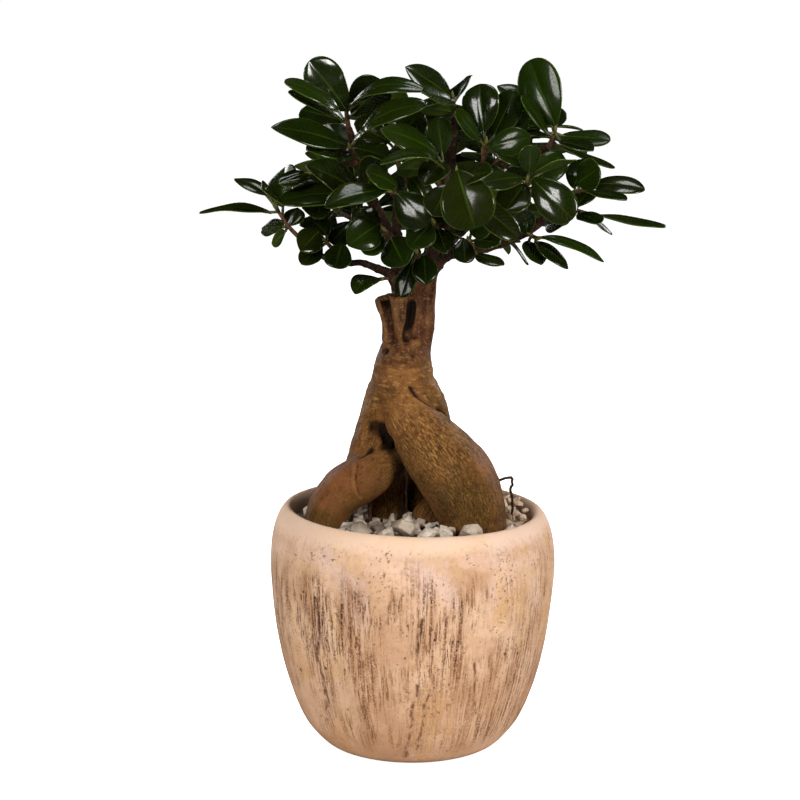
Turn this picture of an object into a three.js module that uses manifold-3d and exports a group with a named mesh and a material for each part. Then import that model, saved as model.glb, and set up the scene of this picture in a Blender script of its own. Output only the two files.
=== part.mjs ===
// Fig bonsai with swollen roots in a hand-made clay pot, topped with pale gravel.
// Millimetres, +Z up. The origin is the centre of the pot's flat base, +X is the
// right-hand side of the picture and +Y points away from the viewer.
import * as THREE from 'three';
import { mergeVertices } from 'three/addons/utils/BufferGeometryUtils.js';
import Module from 'manifold-3d';

const wasm = await Module();
wasm.setup();

// ---- driving dimensions (mm, degrees) ----
const POT_HEIGHT = 134;
const POT_BASE_RADIUS = 42;
const POT_BELLY_RADIUS = 78.7;
const POT_BELLY_HEIGHT = 102;
const POT_MOUTH_RADIUS = 65.5;
const POT_FLOOR = 9;
const POT_SIDES = 32;
const RIM_TILT = 0.028;
const RIM_TILT_START = 60;
const RIM_SHIFT = 0.7;
const GRAVEL_TOP = 126;
const GRAVEL_DEPTH = 10;
const SEAT_GAP = 0.3;
const LEAF_THICKNESS = 1.1;
const LEAF_CLEARANCE = 0.35;
const STALK_RADIUS = 0.85;
const STONE_SIZE = 5.2;
const GOLDEN_ANGLE = 137.5;

// Where the picture was taken from: it turns a pixel and a depth into millimetres.
const EYE = new THREE.Vector3(-6.6, -1500, 492);
const EYE_PITCH = THREE.MathUtils.degToRad(11.25);
const FOCAL_PIXELS = 2801;
const PICTURE_CENTRE = 400;

const UP = new THREE.Vector3(0, 0, 1);
const CROWN_CENTRE = new THREE.Vector3(16, 4, 314);
const CROWN_REACH = new THREE.Vector3(90, 112, 54);


// Point of the plant at a picture pixel, at a depth behind (+) or before (-) the pot's axis.
function seen([px, py, depth]) {
  const right = (px - PICTURE_CENTRE) / FOCAL_PIXELS;
  const down = (py - PICTURE_CENTRE) / FOCAL_PIXELS;
  const ray = new THREE.Vector3(
    right,
    Math.cos(EYE_PITCH) - down * Math.sin(EYE_PITCH),
    -Math.sin(EYE_PITCH) - down * Math.cos(EYE_PITCH),
  );
  return EYE.clone().addScaledVector(ray, (depth - EYE.y) / ray.y);
}

// ---- geometry helpers ----

// Closed mesh with shared corners, no collapsed triangles and its faces pointing out.
function tidy(source) {
  const open = source.clone();
  open.deleteAttribute('normal');
  open.deleteAttribute('uv');
  const merged = mergeVertices(open, 1e-3);
  const corner = (i) => new THREE.Vector3().fromBufferAttribute(merged.attributes.position, i);
  const faces = [];
  let volume = 0;
  for (let i = 0; i < merged.index.count; i += 3) {
    const [a, b, c] = [0, 1, 2].map((k) => merged.index.getX(i + k));
    if (a === b || b === c || c === a) continue;
    faces.push([a, b, c]);
    volume += corner(a).dot(corner(b).cross(corner(c)));
  }
  const outward = volume > 0 ? faces : faces.map(([a, b, c]) => [a, c, b]);
  merged.setIndex(outward.flat());
  return merged;
}

function solid(geometry) {
  const closed = tidy(geometry);
  const vertProperties = new Float32Array(closed.attributes.position.array);
  const triVerts = new Uint32Array(closed.index.array);
  return new wasm.Manifold(new wasm.Mesh({ numProp: 3, vertProperties, triVerts }));
}

function geometryOf(manifold) {
  const { numProp, vertProperties, triVerts } = manifold.getMesh();
  const positions = [];
  for (let i = 0; i < vertProperties.length; i += numProp) {
    positions.push(...vertProperties.slice(i, i + 3));
  }
  const geometry = new THREE.BufferGeometry();
  geometry.setAttribute('position', new THREE.Float32BufferAttribute(positions, 3));
  geometry.setIndex([...triVerts]);
  geometry.computeVertexNormals();
  return geometry;
}

function joined(solids) {
  return solids.reduce((all, next) => all.add(next));
}

// Largest single body of a piece that its neighbours have cut.
function mainBody(piece) {
  const bodies = piece.decompose();
  return bodies.reduce((a, b) => (a.volume() > b.volume() ? a : b));
}

// Lathe-turned body carried through a list of stations, each with its place, the two directions of
// its section and the half sizes along them. A station of no width closes to a point.
function bentBody(stations, sides) {
  const last = stations.length - 1;
  const profile = [new THREE.Vector2(0, 0)];
  stations.forEach((_, i) => profile.push(new THREE.Vector2(1, i)));
  profile.push(new THREE.Vector2(0, last));
  const body = new THREE.LatheGeometry(profile, sides);
  const points = body.attributes.position;
  for (let i = 0; i < points.count; i += 1) {
    const { place, side, normal, width, height } = stations[Math.round(points.getY(i))];
    const corner = place.clone();
    corner.addScaledVector(side, points.getX(i) * width);
    corner.addScaledVector(normal, points.getZ(i) * height);
    points.setXYZ(i, corner.x, corner.y, corner.z);
  }
  return solid(body);
}

// Round tapering stem, root or twig through a list of [px, py, depth, radius].
function stem(route, sides, steps, grow = 0) {
  const curve = new THREE.CatmullRomCurve3(route.map(seen));
  const frames = curve.computeFrenetFrames(steps, false);
  const stations = [];
  for (let i = 0; i <= steps; i += 1) {
    const along = (i / steps) * (route.length - 1);
    const k = Math.min(Math.floor(along), route.length - 2);
    const radius = THREE.MathUtils.lerp(route[k][3], route[k + 1][3], along - k) + grow;
    stations.push({
      place: curve.getPointAt(i / steps),
      side: frames.binormals[i],
      normal: frames.normals[i],
      width: radius,
      height: radius,
    });
  }
  return bentBody(stations, sides);
}

// ---- pot, soil and gravel ----

// The rim was thrown slightly off level and off centre: everything near it follows the same lean.
const leanAt = (z) => THREE.MathUtils.smoothstep(z, RIM_TILT_START, POT_HEIGHT);
const dropAt = (x, z) => -RIM_TILT * x * leanAt(z);

function thrown(points) {
  const turned = new THREE.LatheGeometry(points.map(([r, z]) => new THREE.Vector2(r, z)), POT_SIDES);
  turned.rotateX(Math.PI / 2);
  const place = turned.attributes.position;
  for (let i = 0; i < place.count; i += 1) {
    const [x, z] = [place.getX(i), place.getZ(i)];
    place.setX(i, x + RIM_SHIFT * leanAt(z));
    place.setZ(i, z + dropAt(x, z));
  }
  return solid(turned);
}

// Wall of the hollow, from the floor up to the mouth.
const HOLLOW = [
  [40, POT_FLOOR],
  [50, 13],
  [56.5, 24],
  [61.5, 40],
  [66, 60],
  [68.8, 80],
  [69.8, POT_BELLY_HEIGHT],
  [68.8, 113],
  [66.6, 121],
  [POT_MOUTH_RADIUS, 127],
];

function hollowRadius(z) {
  const k = Math.max(1, HOLLOW.findIndex(([, height]) => height >= z));
  const [[r0, z0], [r1, z1]] = [HOLLOW[k - 1], HOLLOW[k]];
  return r0 + ((z - z0) / (z1 - z0)) * (r1 - r0);
}

function potSolid() {
  return thrown([
    [0, 0],
    [POT_BASE_RADIUS, 0],
    [49, 3.2],
    [54, 8],
    [59.3, 15.5],
    [64.2, 26],
    [69.3, 40],
    [74.2, 60],
    [77.2, 80],
    [POT_BELLY_RADIUS, POT_BELLY_HEIGHT],
    [78, 114],
    [76, 123.5],
    [73.2, 130],
    [70, POT_HEIGHT - 0.8],
    [68, POT_HEIGHT],
    [66.2, 132.6],
    ...[...HOLLOW].reverse(),
    [0, POT_FLOOR],
  ]);
}

// Disc of filling that stops short of the wall by the seat gap, between two heights.
function filling(low, high) {
  const walls = HOLLOW.filter(([, z], i) => i % 2 === 0 && z > low + 1 && z < high - 1);
  const bounds = [[hollowRadius(low), low], ...walls, [hollowRadius(high), high]];
  const clear = bounds.map(([r, z]) => [r - 2 * SEAT_GAP, z]);
  return thrown([[0, low], ...clear, [0, high]]);
}

// ---- roots, trunk and branches: [px, py, depth, radius] ----
const ROOTS = {
  neck: [
    [407, 336, 0, 11.5], [405, 354, 0, 14.2], [403, 368, 0, 16.2], [402, 386, 1, 17],
    [400, 408, 4, 12],
  ],
  main_root: [
    [402, 366, 0, 13], [401, 392, -2, 13.4], [409, 416, -8, 15.2], [427, 441, -14, 18.4],
    [447, 467, -18, 21], [464, 492, -20, 20], [474, 520, -20, 16.8], [475, 556, -18, 13],
    [475, 590, -16, 8],
  ],
  left_leg: [
    [394, 380, 1, 12], [387, 402, 2, 13], [379, 426, 1, 12.2], [371, 447, -2, 10.8],
    [364, 466, -7, 10], [354, 484, -15, 8],
  ],
  left_root: [
    [401, 460, -6, 5], [394, 461, -8, 10], [384, 464, -11, 13], [371, 473, -13, 13.2],
    [357, 482, -15, 12.4], [342, 493, -18, 11.8], [329, 511, -20, 11.3], [323, 538, -20, 9],
    [321, 565, -20, 5],
  ],
  middle_root: [
    [383, 430, 4, 8], [387, 458, 7, 11], [386, 495, 6, 10.6], [387, 530, 4, 10.2],
    [388, 570, 4, 6],
  ],
  knob_root: [
    [454, 496, 8, 6], [440, 508, 2, 9], [429, 519, -3, 9.8], [425, 534, -4, 9.8],
    [424, 562, -4, 6],
  ],
  heart: [
    [404, 400, 8, 13], [405, 430, 18, 16], [407, 462, 26, 16], [409, 500, 28, 15],
    [410, 545, 28, 10],
  ],
  back_right_root: [
    [410, 366, 4, 9], [416, 381, 0, 9.8], [424, 395, -1, 11.6], [428.5, 408, 0, 11.4], [430, 420, 6, 10.8],
    [438, 442, 22, 11.5], [446, 468, 36, 12], [456, 502, 44, 11], [462, 545, 44, 7],
  ],
  back_left_root: [
    [400, 388, 12, 12], [390, 420, 26, 13.5], [372, 456, 38, 12], [356, 492, 42, 10.5],
    [350, 540, 42, 7],
  ],
};

const STEMS = {
  left_stem: [[399, 354, -2, 8.5], [396, 328, -3, 7.6], [397, 296, -3, 6.6]],
  broken_stub: [[393, 344, -2, 4.6], [387, 320, -3, 3.4], [381, 298, -3, 2.7]],
  right_stem: [
    [414, 356, 0, 8.5], [420, 328, 0, 7.9], [421.5, 300, 0, 7.6], [426.5, 276, 0, 7],
    [432, 256, -2, 5.6],
  ],
  back_stem: [[407, 352, 5, 9], [408, 315, 8, 8], [404, 285, 6, 7], [401, 262, 4, 5.4]],
};

const BRANCHES = {
  left: [
    [400, 286, 0, 4.4], [389, 274, -4, 2.5], [375, 267.5, -8, 1.9], [362, 263, -11, 1.6],
    [349, 263, -14, 1.6], [322, 256, -20, 1.5], [302, 240, -24, 1.4],
  ],
  upper_left: [
    [401, 266, 4, 5.2], [386, 232, 0, 3.6], [369, 192, -4, 2.9], [357, 156, -8, 2.3], [349, 128, -11, 1.7],
  ],
  centre: [
    [430, 262, -1, 5.2], [439, 232, 0, 4.2], [446, 192, 0, 3.2], [452, 150, 0, 2.5], [455, 116, -1, 1.8],
  ],
  right: [
    [428, 270, -3, 5.2], [446, 254, -8, 4], [470, 250, -12, 3.1], [500, 243, -16, 2.7],
    [530, 230, -18, 2.4], [553, 210, -19, 2], [566, 198, -21, 1.6],
  ],
  upper_right: [
    [439, 234, 1, 3.6], [464, 198, 6, 3], [492, 170, 8, 2.6], [524, 156, 6, 2.2], [548, 148, 2, 1.8],
  ],
  front_left: [[402, 268, -1, 4.4], [397, 238, -26, 3.1], [396, 210, -44, 2.4], [397, 196, -50, 1.8]],
  front_right: [[429, 262, -4, 4.4], [440, 236, -32, 3], [454, 214, -52, 2.3], [459, 196, -62, 1.8]],
  back_left: [[402, 268, 6, 4.6], [385, 240, 28, 3.2], [356, 214, 48, 2.4], [334, 196, 60, 1.7]],
  back_right: [[428, 264, 3, 4.6], [455, 236, 30, 3.2], [486, 212, 52, 2.4], [508, 196, 66, 1.7]],
  back_top: [[412, 262, 6, 4.6], [412, 218, 24, 3.4], [408, 176, 36, 2.5], [404, 148, 40, 1.8]],
};

const THIN_ROOTS = {
  hanging: [
    [486, 484, -18, 0.9], [500, 480, -16, 0.9], [506, 478, -15, 0.8], [510.8, 477.4, -14.5, 0.8],
    [511.8, 479.5, -14, 0.8], [510.9, 482, -14, 0.7], [512.6, 484.4, -13, 0.7], [510.6, 487, -13, 0.7],
    [511.8, 498, -12, 0.7], [512, 520, -10, 0.7],
  ],
  dangling_left: [[359, 500, -14, 1.1], [352, 516, -18, 1], [347, 545, -18, 0.9]],
  dangling_right: [[369, 494, -10, 1.1], [370, 515, -12, 1], [371, 548, -12, 0.9]],
  in_the_arch: [
    [400, 462, -8, 0.9], [405, 471, -9, 0.8], [408, 481, -9, 0.8], [406.5, 492, -8, 0.7],
    [407, 512, -7, 0.7],
  ],
};

function rootsAndBranches(grow) {
  const roots = Object.values(ROOTS).map((route) => stem(route, 10, 7, grow));
  const stems = Object.values(STEMS).map((route) => stem(route, 8, 3, grow));
  const branches = Object.values(BRANCHES).map((route) => stem(route, 5, 6, grow));
  const thin = Object.values(THIN_ROOTS).map((route) => stem(route, 4, 4, grow));
  return joined([...roots, ...stems, ...branches, ...thin]);
}

// ---- leafy shoots ----
// twig: [px, py, depth, radius] from the branch outward. leaves: the ones that the picture shows,
// as [base px, py, depth, tip px, py, depth, width, tilt, arch]. tilt 0 turns the upper side to the
// viewer and 90 to the sky. spiral: how many more leaves grow in a spiral on the far side.
const SHOOTS = {
  top_left: {
    twig: [[349, 130, -11, 1.5], [347, 118, -12, 1.3], [346, 106, -14, 1]],
    leaves: [
      [347, 111, -14, 309, 61, -26, 22, 16, 3],
      [345, 124, -15, 284, 82, -30, 14, 58, 7],
      [342, 121, -17, 288, 92, -40, 12, 66, 3],
      [345, 122, -8, 301, 110, 8, 17, 40, 2],
      [350, 106, -12, 427, 92, -34, 15, 62, 10],
      [352, 116, -5, 382, 81, 6, 23, 12, 2],
    ],
    spiral: 4,
  },
  upper_left: {
    twig: [[357, 158, -8, 1.7], [353, 152, -18, 1.4], [350, 147, -26, 1.1]],
    leaves: [
      [348, 146, -27, 271, 127, -44, 17, 42, 4],
      [354, 142, -26, 426, 105, -44, 16, 56, 8],
      [346, 152, -26, 306, 150, -48, 18, 50, 3],
      [355, 148, -26, 386, 157, -40, 15, 38, 2],
    ],
    spiral: 2,
  },
  left_upper: {
    twig: [[358, 162, -8, 1.7], [334, 166, -20, 1.4], [312, 172, -32, 1.1]],
    leaves: [
      [308, 173, -34, 278, 184, -44, 12, 45, 2],
      [330, 164, -20, 345, 140, -6, 17, 30, 2],
      [350, 158, -12, 328, 124, 2, 16, 30, 2],
    ],
    spiral: 0,
  },
  left_middle: {
    twig: [[369, 192, -4, 1.8], [366, 196, -18, 1.5], [364, 197, -28, 1.2]],
    leaves: [
      [361, 195, -30, 305, 165, -50, 20, 40, 4],
      [361, 199, -30, 277, 203, -48, 20, 52, 6],
      [366, 192, -29, 377, 158, -44, 16, 15, 2],
      [358, 198, -22, 290, 184, -30, 19, 46, 3],
    ],
    spiral: 4,
  },
  left_tip: {
    twig: [[302, 240, -24, 1.3], [289, 227, -27, 1.1], [276, 208, -29, 0.9]],
    leaves: [
      [272, 213, -28, 199, 213, -18, 15, 74, 4],
      [268, 195, -30, 234, 179, -22, 12, 54, 3],
      [276, 203, -31, 262, 190, -52, 17, 84, 4],
      [285, 227, -27, 262, 228, -14, 12, 40, 2],
      [286, 231, -26, 272, 244, -36, 10, 130, 1],
      [290, 226, -26, 298, 208, -12, 12, 20, 1],
    ],
    spiral: 1,
  },
  left_low: {
    twig: [[348, 263, -14, 1.5], [336, 252, -22, 1.3], [324, 240, -28, 1]],
    leaves: [
      [319, 231, -29, 300, 251, -42, 15, 8, 2],
      [322, 246, -27, 301, 264, -38, 12, 25, 2],
      [342, 243, -26, 335, 268, -38, 15, 6, 2],
      [328, 236, -27, 306, 218, -10, 16, 40, 3],
    ],
    spiral: 4,
  },
  left_front: {
    twig: [[397, 198, -49, 1.7], [394, 194, -55, 1.4], [390, 191, -61, 1.1]],
    leaves: [
      [388, 190, -62, 325, 207, -76, 18, 48, 4],
      [396, 192, -60, 427, 226, -69, 19, -3, 3],
      [398, 188, -57, 366, 172, -66, 16, 50, 3],
    ],
    spiral: 2,
  },
  low_front: {
    twig: [[397, 240, -25, 1.8], [392, 236, -36, 1.4], [385, 230, -44, 1.1]],
    leaves: [
      [379, 224, -47, 348, 246, -60, 19, 12, 3],
      [383, 236, -44, 364, 254, -54, 13, 30, 2],
      [391, 238, -42, 405, 266, -56, 20, -6, 2],
      [382, 226, -40, 352, 214, -40, 18, 45, 3],
    ],
    spiral: 2,
  },
  low_centre: {
    twig: [[421, 266, -5, 1.6], [419, 258, -16, 1.3], [417, 252, -24, 1]],
    leaves: [
      [412, 262, -23, 401, 297, -28, 11, 18, 1],
      [424, 256, -23, 426, 285, -32, 14, 4, 1],
    ],
    spiral: 0,
  },
  stub_leaf: {
    twig: [[394, 278, -3, 1.3], [388, 278, -6, 1.1], [382, 279, -8, 0.9]],
    leaves: [[379, 279, -8, 355, 294, -24, 15, 50, 5]],
    spiral: 0,
  },
  top_centre: {
    twig: [[455, 118, -1, 1.6], [454, 108, -4, 1.3], [453, 99, -6, 1]],
    leaves: [
      [452, 98, -7, 405, 67, -22, 16, 34, 3],
      [451, 100, -8, 422, 93, -32, 14, 54, 2],
      [456, 112, -6, 424, 107, -34, 14, 130, 2],
      [458, 97, 0, 465, 79, 20, 18, 60, 2],
    ],
    spiral: 4,
  },
  centre_upper: {
    twig: [[478, 184, 7, 1.8], [483, 163, -8, 1.5], [486, 142, -20, 1.1]],
    leaves: [
      [484, 133, -23, 480, 84, -16, 21, -18, 3],
      [480, 141, -20, 455, 112, -30, 13, 50, 2],
      [488, 148, -22, 531, 137, -27, 15, 12, 3],
      [492, 140, -14, 515, 91, -8, 17, 8, 2],
      [493, 152, -14, 527, 163, -8, 14, 50, 2],
    ],
    spiral: 4,
  },
  centre_left: {
    twig: [[447, 186, 0, 1.8], [446, 176, -22, 1.5], [442, 164, -38, 1.1]],
    leaves: [
      [438, 154, -40, 380, 129, -54, 18, 44, 4],
      [445, 170, -38, 380, 165, -62, 14, 68, 9],
      [440, 173, -34, 397, 168, -46, 16, 128, 3],
      [443, 162, -40, 424, 186, -58, 17, 30, 3],
    ],
    spiral: 2,
  },
  top_right: {
    twig: [[548, 148, 2, 1.7], [552, 140, -1, 1.4], [555, 130, -4, 1.1]],
    leaves: [
      [555.7, 126, -6, 530, 60, 6, 25, -19, 3],
      [549, 118, 8, 497, 86, 14, 15, 42, 3],
      [549, 136, 2, 522, 95, 4, 12, 60, 2],
      [560, 136, -5, 610, 141, -18, 14, 50, 1.5],
      [558, 141, -5, 593, 151, -22, 14, 64, 2],
      [557, 147, 2, 615, 168, 0, 14, 80, 2],
    ],
    spiral: 4,
  },
  right_high: {
    twig: [[562, 202, -20, 1.5], [574, 192, -26, 1.3], [585, 190, -30, 1]],
    leaves: [
      [577, 184, -30, 600, 168, -42, 17, 18, 2],
      [588, 186, -31, 645, 190, -42, 16, 52, 4],
      [584, 191, -32, 627, 200, -52, 11, 68, 2],
      [573, 188, -20, 588, 160, 0, 17, 30, 2],
    ],
    spiral: 2,
  },
  right_tip: {
    twig: [[558, 207, -19, 1.5], [578, 211, -18, 1.2], [594, 215, -16, 0.9]],
    leaves: [
      [597, 215, -16, 666, 226, -12, 15, 72, 1.5],
      [579, 213, -20, 599, 224, -38, 14, 52, 2],
      [592, 218, -14, 612, 234, -4, 12, 76, 1],
      [572, 214, -10, 546, 226, 6, 15, 40, 2],
      [576, 208, -16, 590, 192, 2, 14, 40, 2],
    ],
    spiral: 2,
  },
  right_low: {
    twig: [[528, 232, -18, 1.5], [532, 236, -24, 1.2], [537, 238, -30, 1]],
    leaves: [
      [540, 237, -31, 604, 262, -38, 11, 62, 5],
      [534, 241, -30, 568, 269, -36, 12, 54, 3],
      [527, 241, -28, 541, 265, -42, 14, 46, 2],
      [527, 234, -28, 523, 211, -42, 12, 8, 1],
    ],
    spiral: 2,
  },
  right_under: {
    twig: [[474, 250, -12, 1.5], [472, 245, -20, 1.2], [469, 240, -26, 1]],
    leaves: [
      [474, 254, -22, 504, 265, -32, 13, 58, 2],
      [463, 238, -28, 465, 263, -38, 12, 12, 1],
      [474, 240, -28, 500, 244, -44, 13, 46, 2],
      [470, 232, -28, 492, 218, -44, 15, 20, 2],
    ],
    spiral: 1,
  },
  centre_front: {
    twig: [[459, 198, -61, 1.7], [458, 186, -68, 1.4], [457, 174, -72, 1.1]],
    leaves: [
      [457, 170, -74, 475, 229, -85, 28, 2, 4],
      [450, 184, -70, 432, 216, -82, 17, 14, 2],
      [466, 196, -66, 518, 238, -70, 17, 34, 3],
      [462, 178, -68, 492, 172, -84, 16, 50, 2],
    ],
    spiral: 0,
  },
  centre_low: {
    twig: [[442, 234, -34, 1.6], [438, 228, -44, 1.3], [434, 222, -52, 1]],
    leaves: [
      [431, 224, -54, 410, 248, -64, 16, 26, 2],
      [438, 228, -52, 446, 254, -60, 14, 16, 2],
    ],
    spiral: 1,
  },
  centre_right: {
    twig: [[528, 230, -18, 1.8], [525, 206, -34, 1.5], [527, 182, -42, 1.1]],
    leaves: [
      [523, 178, -44, 480, 185, -62, 16, 48, 3],
      [525, 184, -46, 506, 210, -64, 18, 16, 2],
      [532, 178, -45, 573, 219, -57, 20, -2, 4],
      [529, 174, -43, 530, 145, -48, 12, 18, 1],
      [533, 176, -40, 577, 160, -44, 16, 110, 2],
    ],
    spiral: 1,
  },
  back_left_top: {
    twig: [[376, 230, 36, 2], [370, 190, 46, 1.6], [368, 152, 46, 1.1]],
    leaves: [],
    spiral: 14,
  },
  back_left_end: {
    twig: [[348, 206, 54, 1.7], [342, 196, 62, 1.4], [340, 188, 68, 1.1]],
    leaves: [],
    spiral: 14,
  },
  back_left_low: {
    twig: [[356, 214, 48, 1.8], [364, 214, 66, 1.5], [372, 208, 84, 1.1]],
    leaves: [],
    spiral: 12,
  },
  back_far_low: {
    twig: [[455, 236, 30, 2], [446, 232, 56, 1.6], [440, 226, 78, 1.1]],
    leaves: [],
    spiral: 12,
  },
  back_top_end: {
    twig: [[404, 148, 40, 1.8], [404, 136, 46, 1.5], [406, 120, 50, 1.1]],
    leaves: [],
    spiral: 14,
  },
  back_middle: {
    twig: [[410, 196, 31, 2], [414, 186, 50, 1.6], [420, 176, 66, 1.1]],
    leaves: [],
    spiral: 12,
  },
  back_centre_low: {
    twig: [[412, 230, 20, 2], [424, 226, 42, 1.6], [432, 222, 62, 1.1]],
    leaves: [],
    spiral: 14,
  },
  back_right_top: {
    twig: [[480, 218, 50, 2], [496, 182, 52, 1.6], [508, 148, 46, 1.1]],
    leaves: [],
    spiral: 14,
  },
  back_right_end: {
    twig: [[500, 202, 62, 1.7], [512, 192, 66, 1.4], [524, 186, 68, 1.1]],
    leaves: [],
    spiral: 14,
  },
  back_right_low: {
    twig: [[480, 216, 50, 1.8], [494, 222, 56, 1.5], [504, 224, 62, 1.1]],
    leaves: [],
    spiral: 14,
  },
  inner_left: {
    twig: [[386, 232, 0, 2], [360, 222, 4, 1.6], [338, 212, 4, 1.1]],
    leaves: [
      [350, 222, -2, 331, 243, -16, 14, 14, 2],
      [333, 212, 2, 318, 234, -8, 14, 12, 2],
      [332, 206, 2, 302, 208, -12, 15, 30, 2],
    ],
    spiral: 6,
  },
  inner_top: {
    twig: [[408, 178, 36, 2], [399, 166, 18, 1.6], [396, 148, 4, 1.1]],
    leaves: [
      [400, 140, -2, 420, 110, -16, 19, 14, 2],
      [390, 142, -2, 354, 124, -16, 18, 30, 2],
    ],
    spiral: 14,
  },
  inner_centre: {
    twig: [[446, 192, 0, 2], [430, 170, 8, 1.6], [428, 146, 10, 1.1]],
    leaves: [],
    spiral: 14,
  },
  inner_right: {
    twig: [[492, 170, 8, 2], [512, 140, 18, 1.6], [520, 116, 22, 1.1]],
    leaves: [],
    spiral: 14,
  },
  inner_low: {
    twig: [[452, 216, 3, 2], [470, 214, 6, 1.6], [492, 208, 8, 1.1]],
    leaves: [],
    spiral: 11,
  },
};

// How wide the blade is along its midrib, as [place from the base, part of its width].
const BLADE_OUTLINE = [[0.3, 0.74], [0.64, 1], [0.92, 0.56]];
// Leaves of a spiral: where they leave the twig, how they lean, and their size (mm, degrees).
const SPIRAL_START = 0.5;
const SPIRAL_SPAN = 0.45;
const SPIRAL_LEAN = 0.5;
const SPIRAL_LENGTH = 34;
const SPIRAL_LENGTH_CHANGE = 5;
const SPIRAL_CHANGE_STEP = 2.1;
const SPIRAL_WIDTH_RATIO = 0.56;
const SPIRAL_ARCH = 3;
const SPIRAL_STALK = 7;
const SPIRAL_DROOP = 5;
const SPIRAL_OUTLOOK = 0.7;
const SPIRAL_ZERO = new THREE.Vector3(0.3, 0.2, 1);
const SHOOT_TURN = 70;
const FOOT_PLACES = [0.5, 0.6, 0.7, 0.8, 0.9];
const UPRIGHT_SIDE = 0.25;

// Room between leaves: probes are points of a blade, and none comes this near another leaf or stem.
const LEAF_ROOM = 5;
const STEM_ROOM = 4;
const PROBES_ALONG = [0.2, 0.4, 0.6, 0.8, 1];
const PROBES_ACROSS = [-0.3, 0, 0.3];
const STALK_PROBES = [0.5, 1];
const INNER_PROBES = STALK_PROBES.length + PROBES_ACROSS.length;
const BRANCH_PROBES = 24;
const TWIG_PROBES = 8;
const DEPTH_SHIFTS = [0, -5, 5, -10, 10, -15, 15, -20, 20, -25, 25];
const SPIRAL_TURNS = [0, 25, -25, 50, -50, 75, -75, 100, -100, 125, -125, 150, -150, 175];
const SPIRAL_SIZES = [1, 0.8, 0.62];

// Unit vector closest to a wish, square to an axis.
function squareTo(axis, wish) {
  return wish.clone().addScaledVector(axis, -wish.dot(axis)).normalize();
}

function arched({ base, tip, normal, arch }) {
  const middle = base.clone().lerp(tip, 0.5).addScaledVector(normal, 2 * arch);
  return new THREE.QuadraticBezierCurve3(base, middle, tip);
}

function sideOf({ base, tip, normal }) {
  return tip.clone().sub(base).cross(normal).normalize();
}

// A leaf: its stalk's foot, the ends of its blade and the way its upper side looks.
function picturedLeaf(row, twig, shift) {
  const [baseX, baseY, baseDepth, tipX, tipY, tipDepth, width, tilt, arch] = row;
  const base = seen([baseX, baseY, baseDepth + shift]);
  const tip = seen([tipX, tipY, tipDepth + shift]);
  const axis = tip.clone().sub(base).normalize();
  const toViewer = squareTo(axis, EYE.clone().sub(base));
  const across = axis.clone().cross(toViewer);
  if (across.z + UPRIGHT_SIDE * across.x < 0) across.negate();
  const angle = THREE.MathUtils.degToRad(tilt);
  const normal = toViewer.multiplyScalar(Math.cos(angle)).addScaledVector(across, Math.sin(angle));
  const outer = FOOT_PLACES.map((along) => twig.getPointAt(along));
  const foot = outer.reduce((a, b) => (a.distanceTo(base) < b.distanceTo(base) ? a : b));
  return { foot, base, tip, width, arch, normal };
}

// The k-th leaf of the spiral round a twig, looking up and away from the crown's middle.
function spiralLeaf(twig, k, count, turn, size) {
  const along = SPIRAL_START + (SPIRAL_SPAN * (k + 0.5)) / count;
  const foot = twig.getPointAt(along);
  const ahead = twig.getTangentAt(along);
  const side = squareTo(ahead, SPIRAL_ZERO);
  const around = side.applyAxisAngle(ahead, THREE.MathUtils.degToRad(k * GOLDEN_ANGLE + turn));
  const axis = ahead.clone().multiplyScalar(SPIRAL_LEAN).add(around).normalize();
  const change = SPIRAL_LENGTH_CHANGE * Math.sin(SPIRAL_CHANGE_STEP * k + turn);
  const length = size * (SPIRAL_LENGTH + change);
  const base = foot.clone().addScaledVector(axis, SPIRAL_STALK);
  const tip = base.clone().addScaledVector(axis, length);
  tip.z -= SPIRAL_DROOP;
  const outward = base.clone().sub(CROWN_CENTRE).setZ(0).normalize();
  const blade = tip.clone().sub(base).normalize();
  const normal = squareTo(blade, outward.multiplyScalar(SPIRAL_OUTLOOK).add(UP));
  return { foot, base, tip, width: length * SPIRAL_WIDTH_RATIO, arch: SPIRAL_ARCH, normal };
}

// Points of a leaf that keep their distance: two on the stalk, three near it, then the outer blade.
function probesOf(leaf) {
  const midrib = arched(leaf);
  const side = sideOf(leaf);
  const blade = PROBES_ALONG.flatMap((along) => PROBES_ACROSS.map((across) => (
    midrib.getPoint(along).addScaledVector(side, across * leaf.width * (along < 1 ? 1 : 0))
  )));
  const stalk = STALK_PROBES.map((along) => leaf.foot.clone().lerp(leaf.base, along));
  return [...stalk, ...blade];
}

const inCrown = (point) => point.clone().sub(CROWN_CENTRE).divide(CROWN_REACH).length() < 1;

function apart(probes, others, room) {
  return probes.every((a) => others.every((b) => a.distanceToSquared(b) > room * room));
}

const curveOf = (route) => new THREE.CatmullRomCurve3(route.map(seen));
const branchProbes = () => [...Object.values(BRANCHES), ...Object.values(STEMS)]
  .flatMap((route) => curveOf(route).getSpacedPoints(BRANCH_PROBES));

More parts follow.
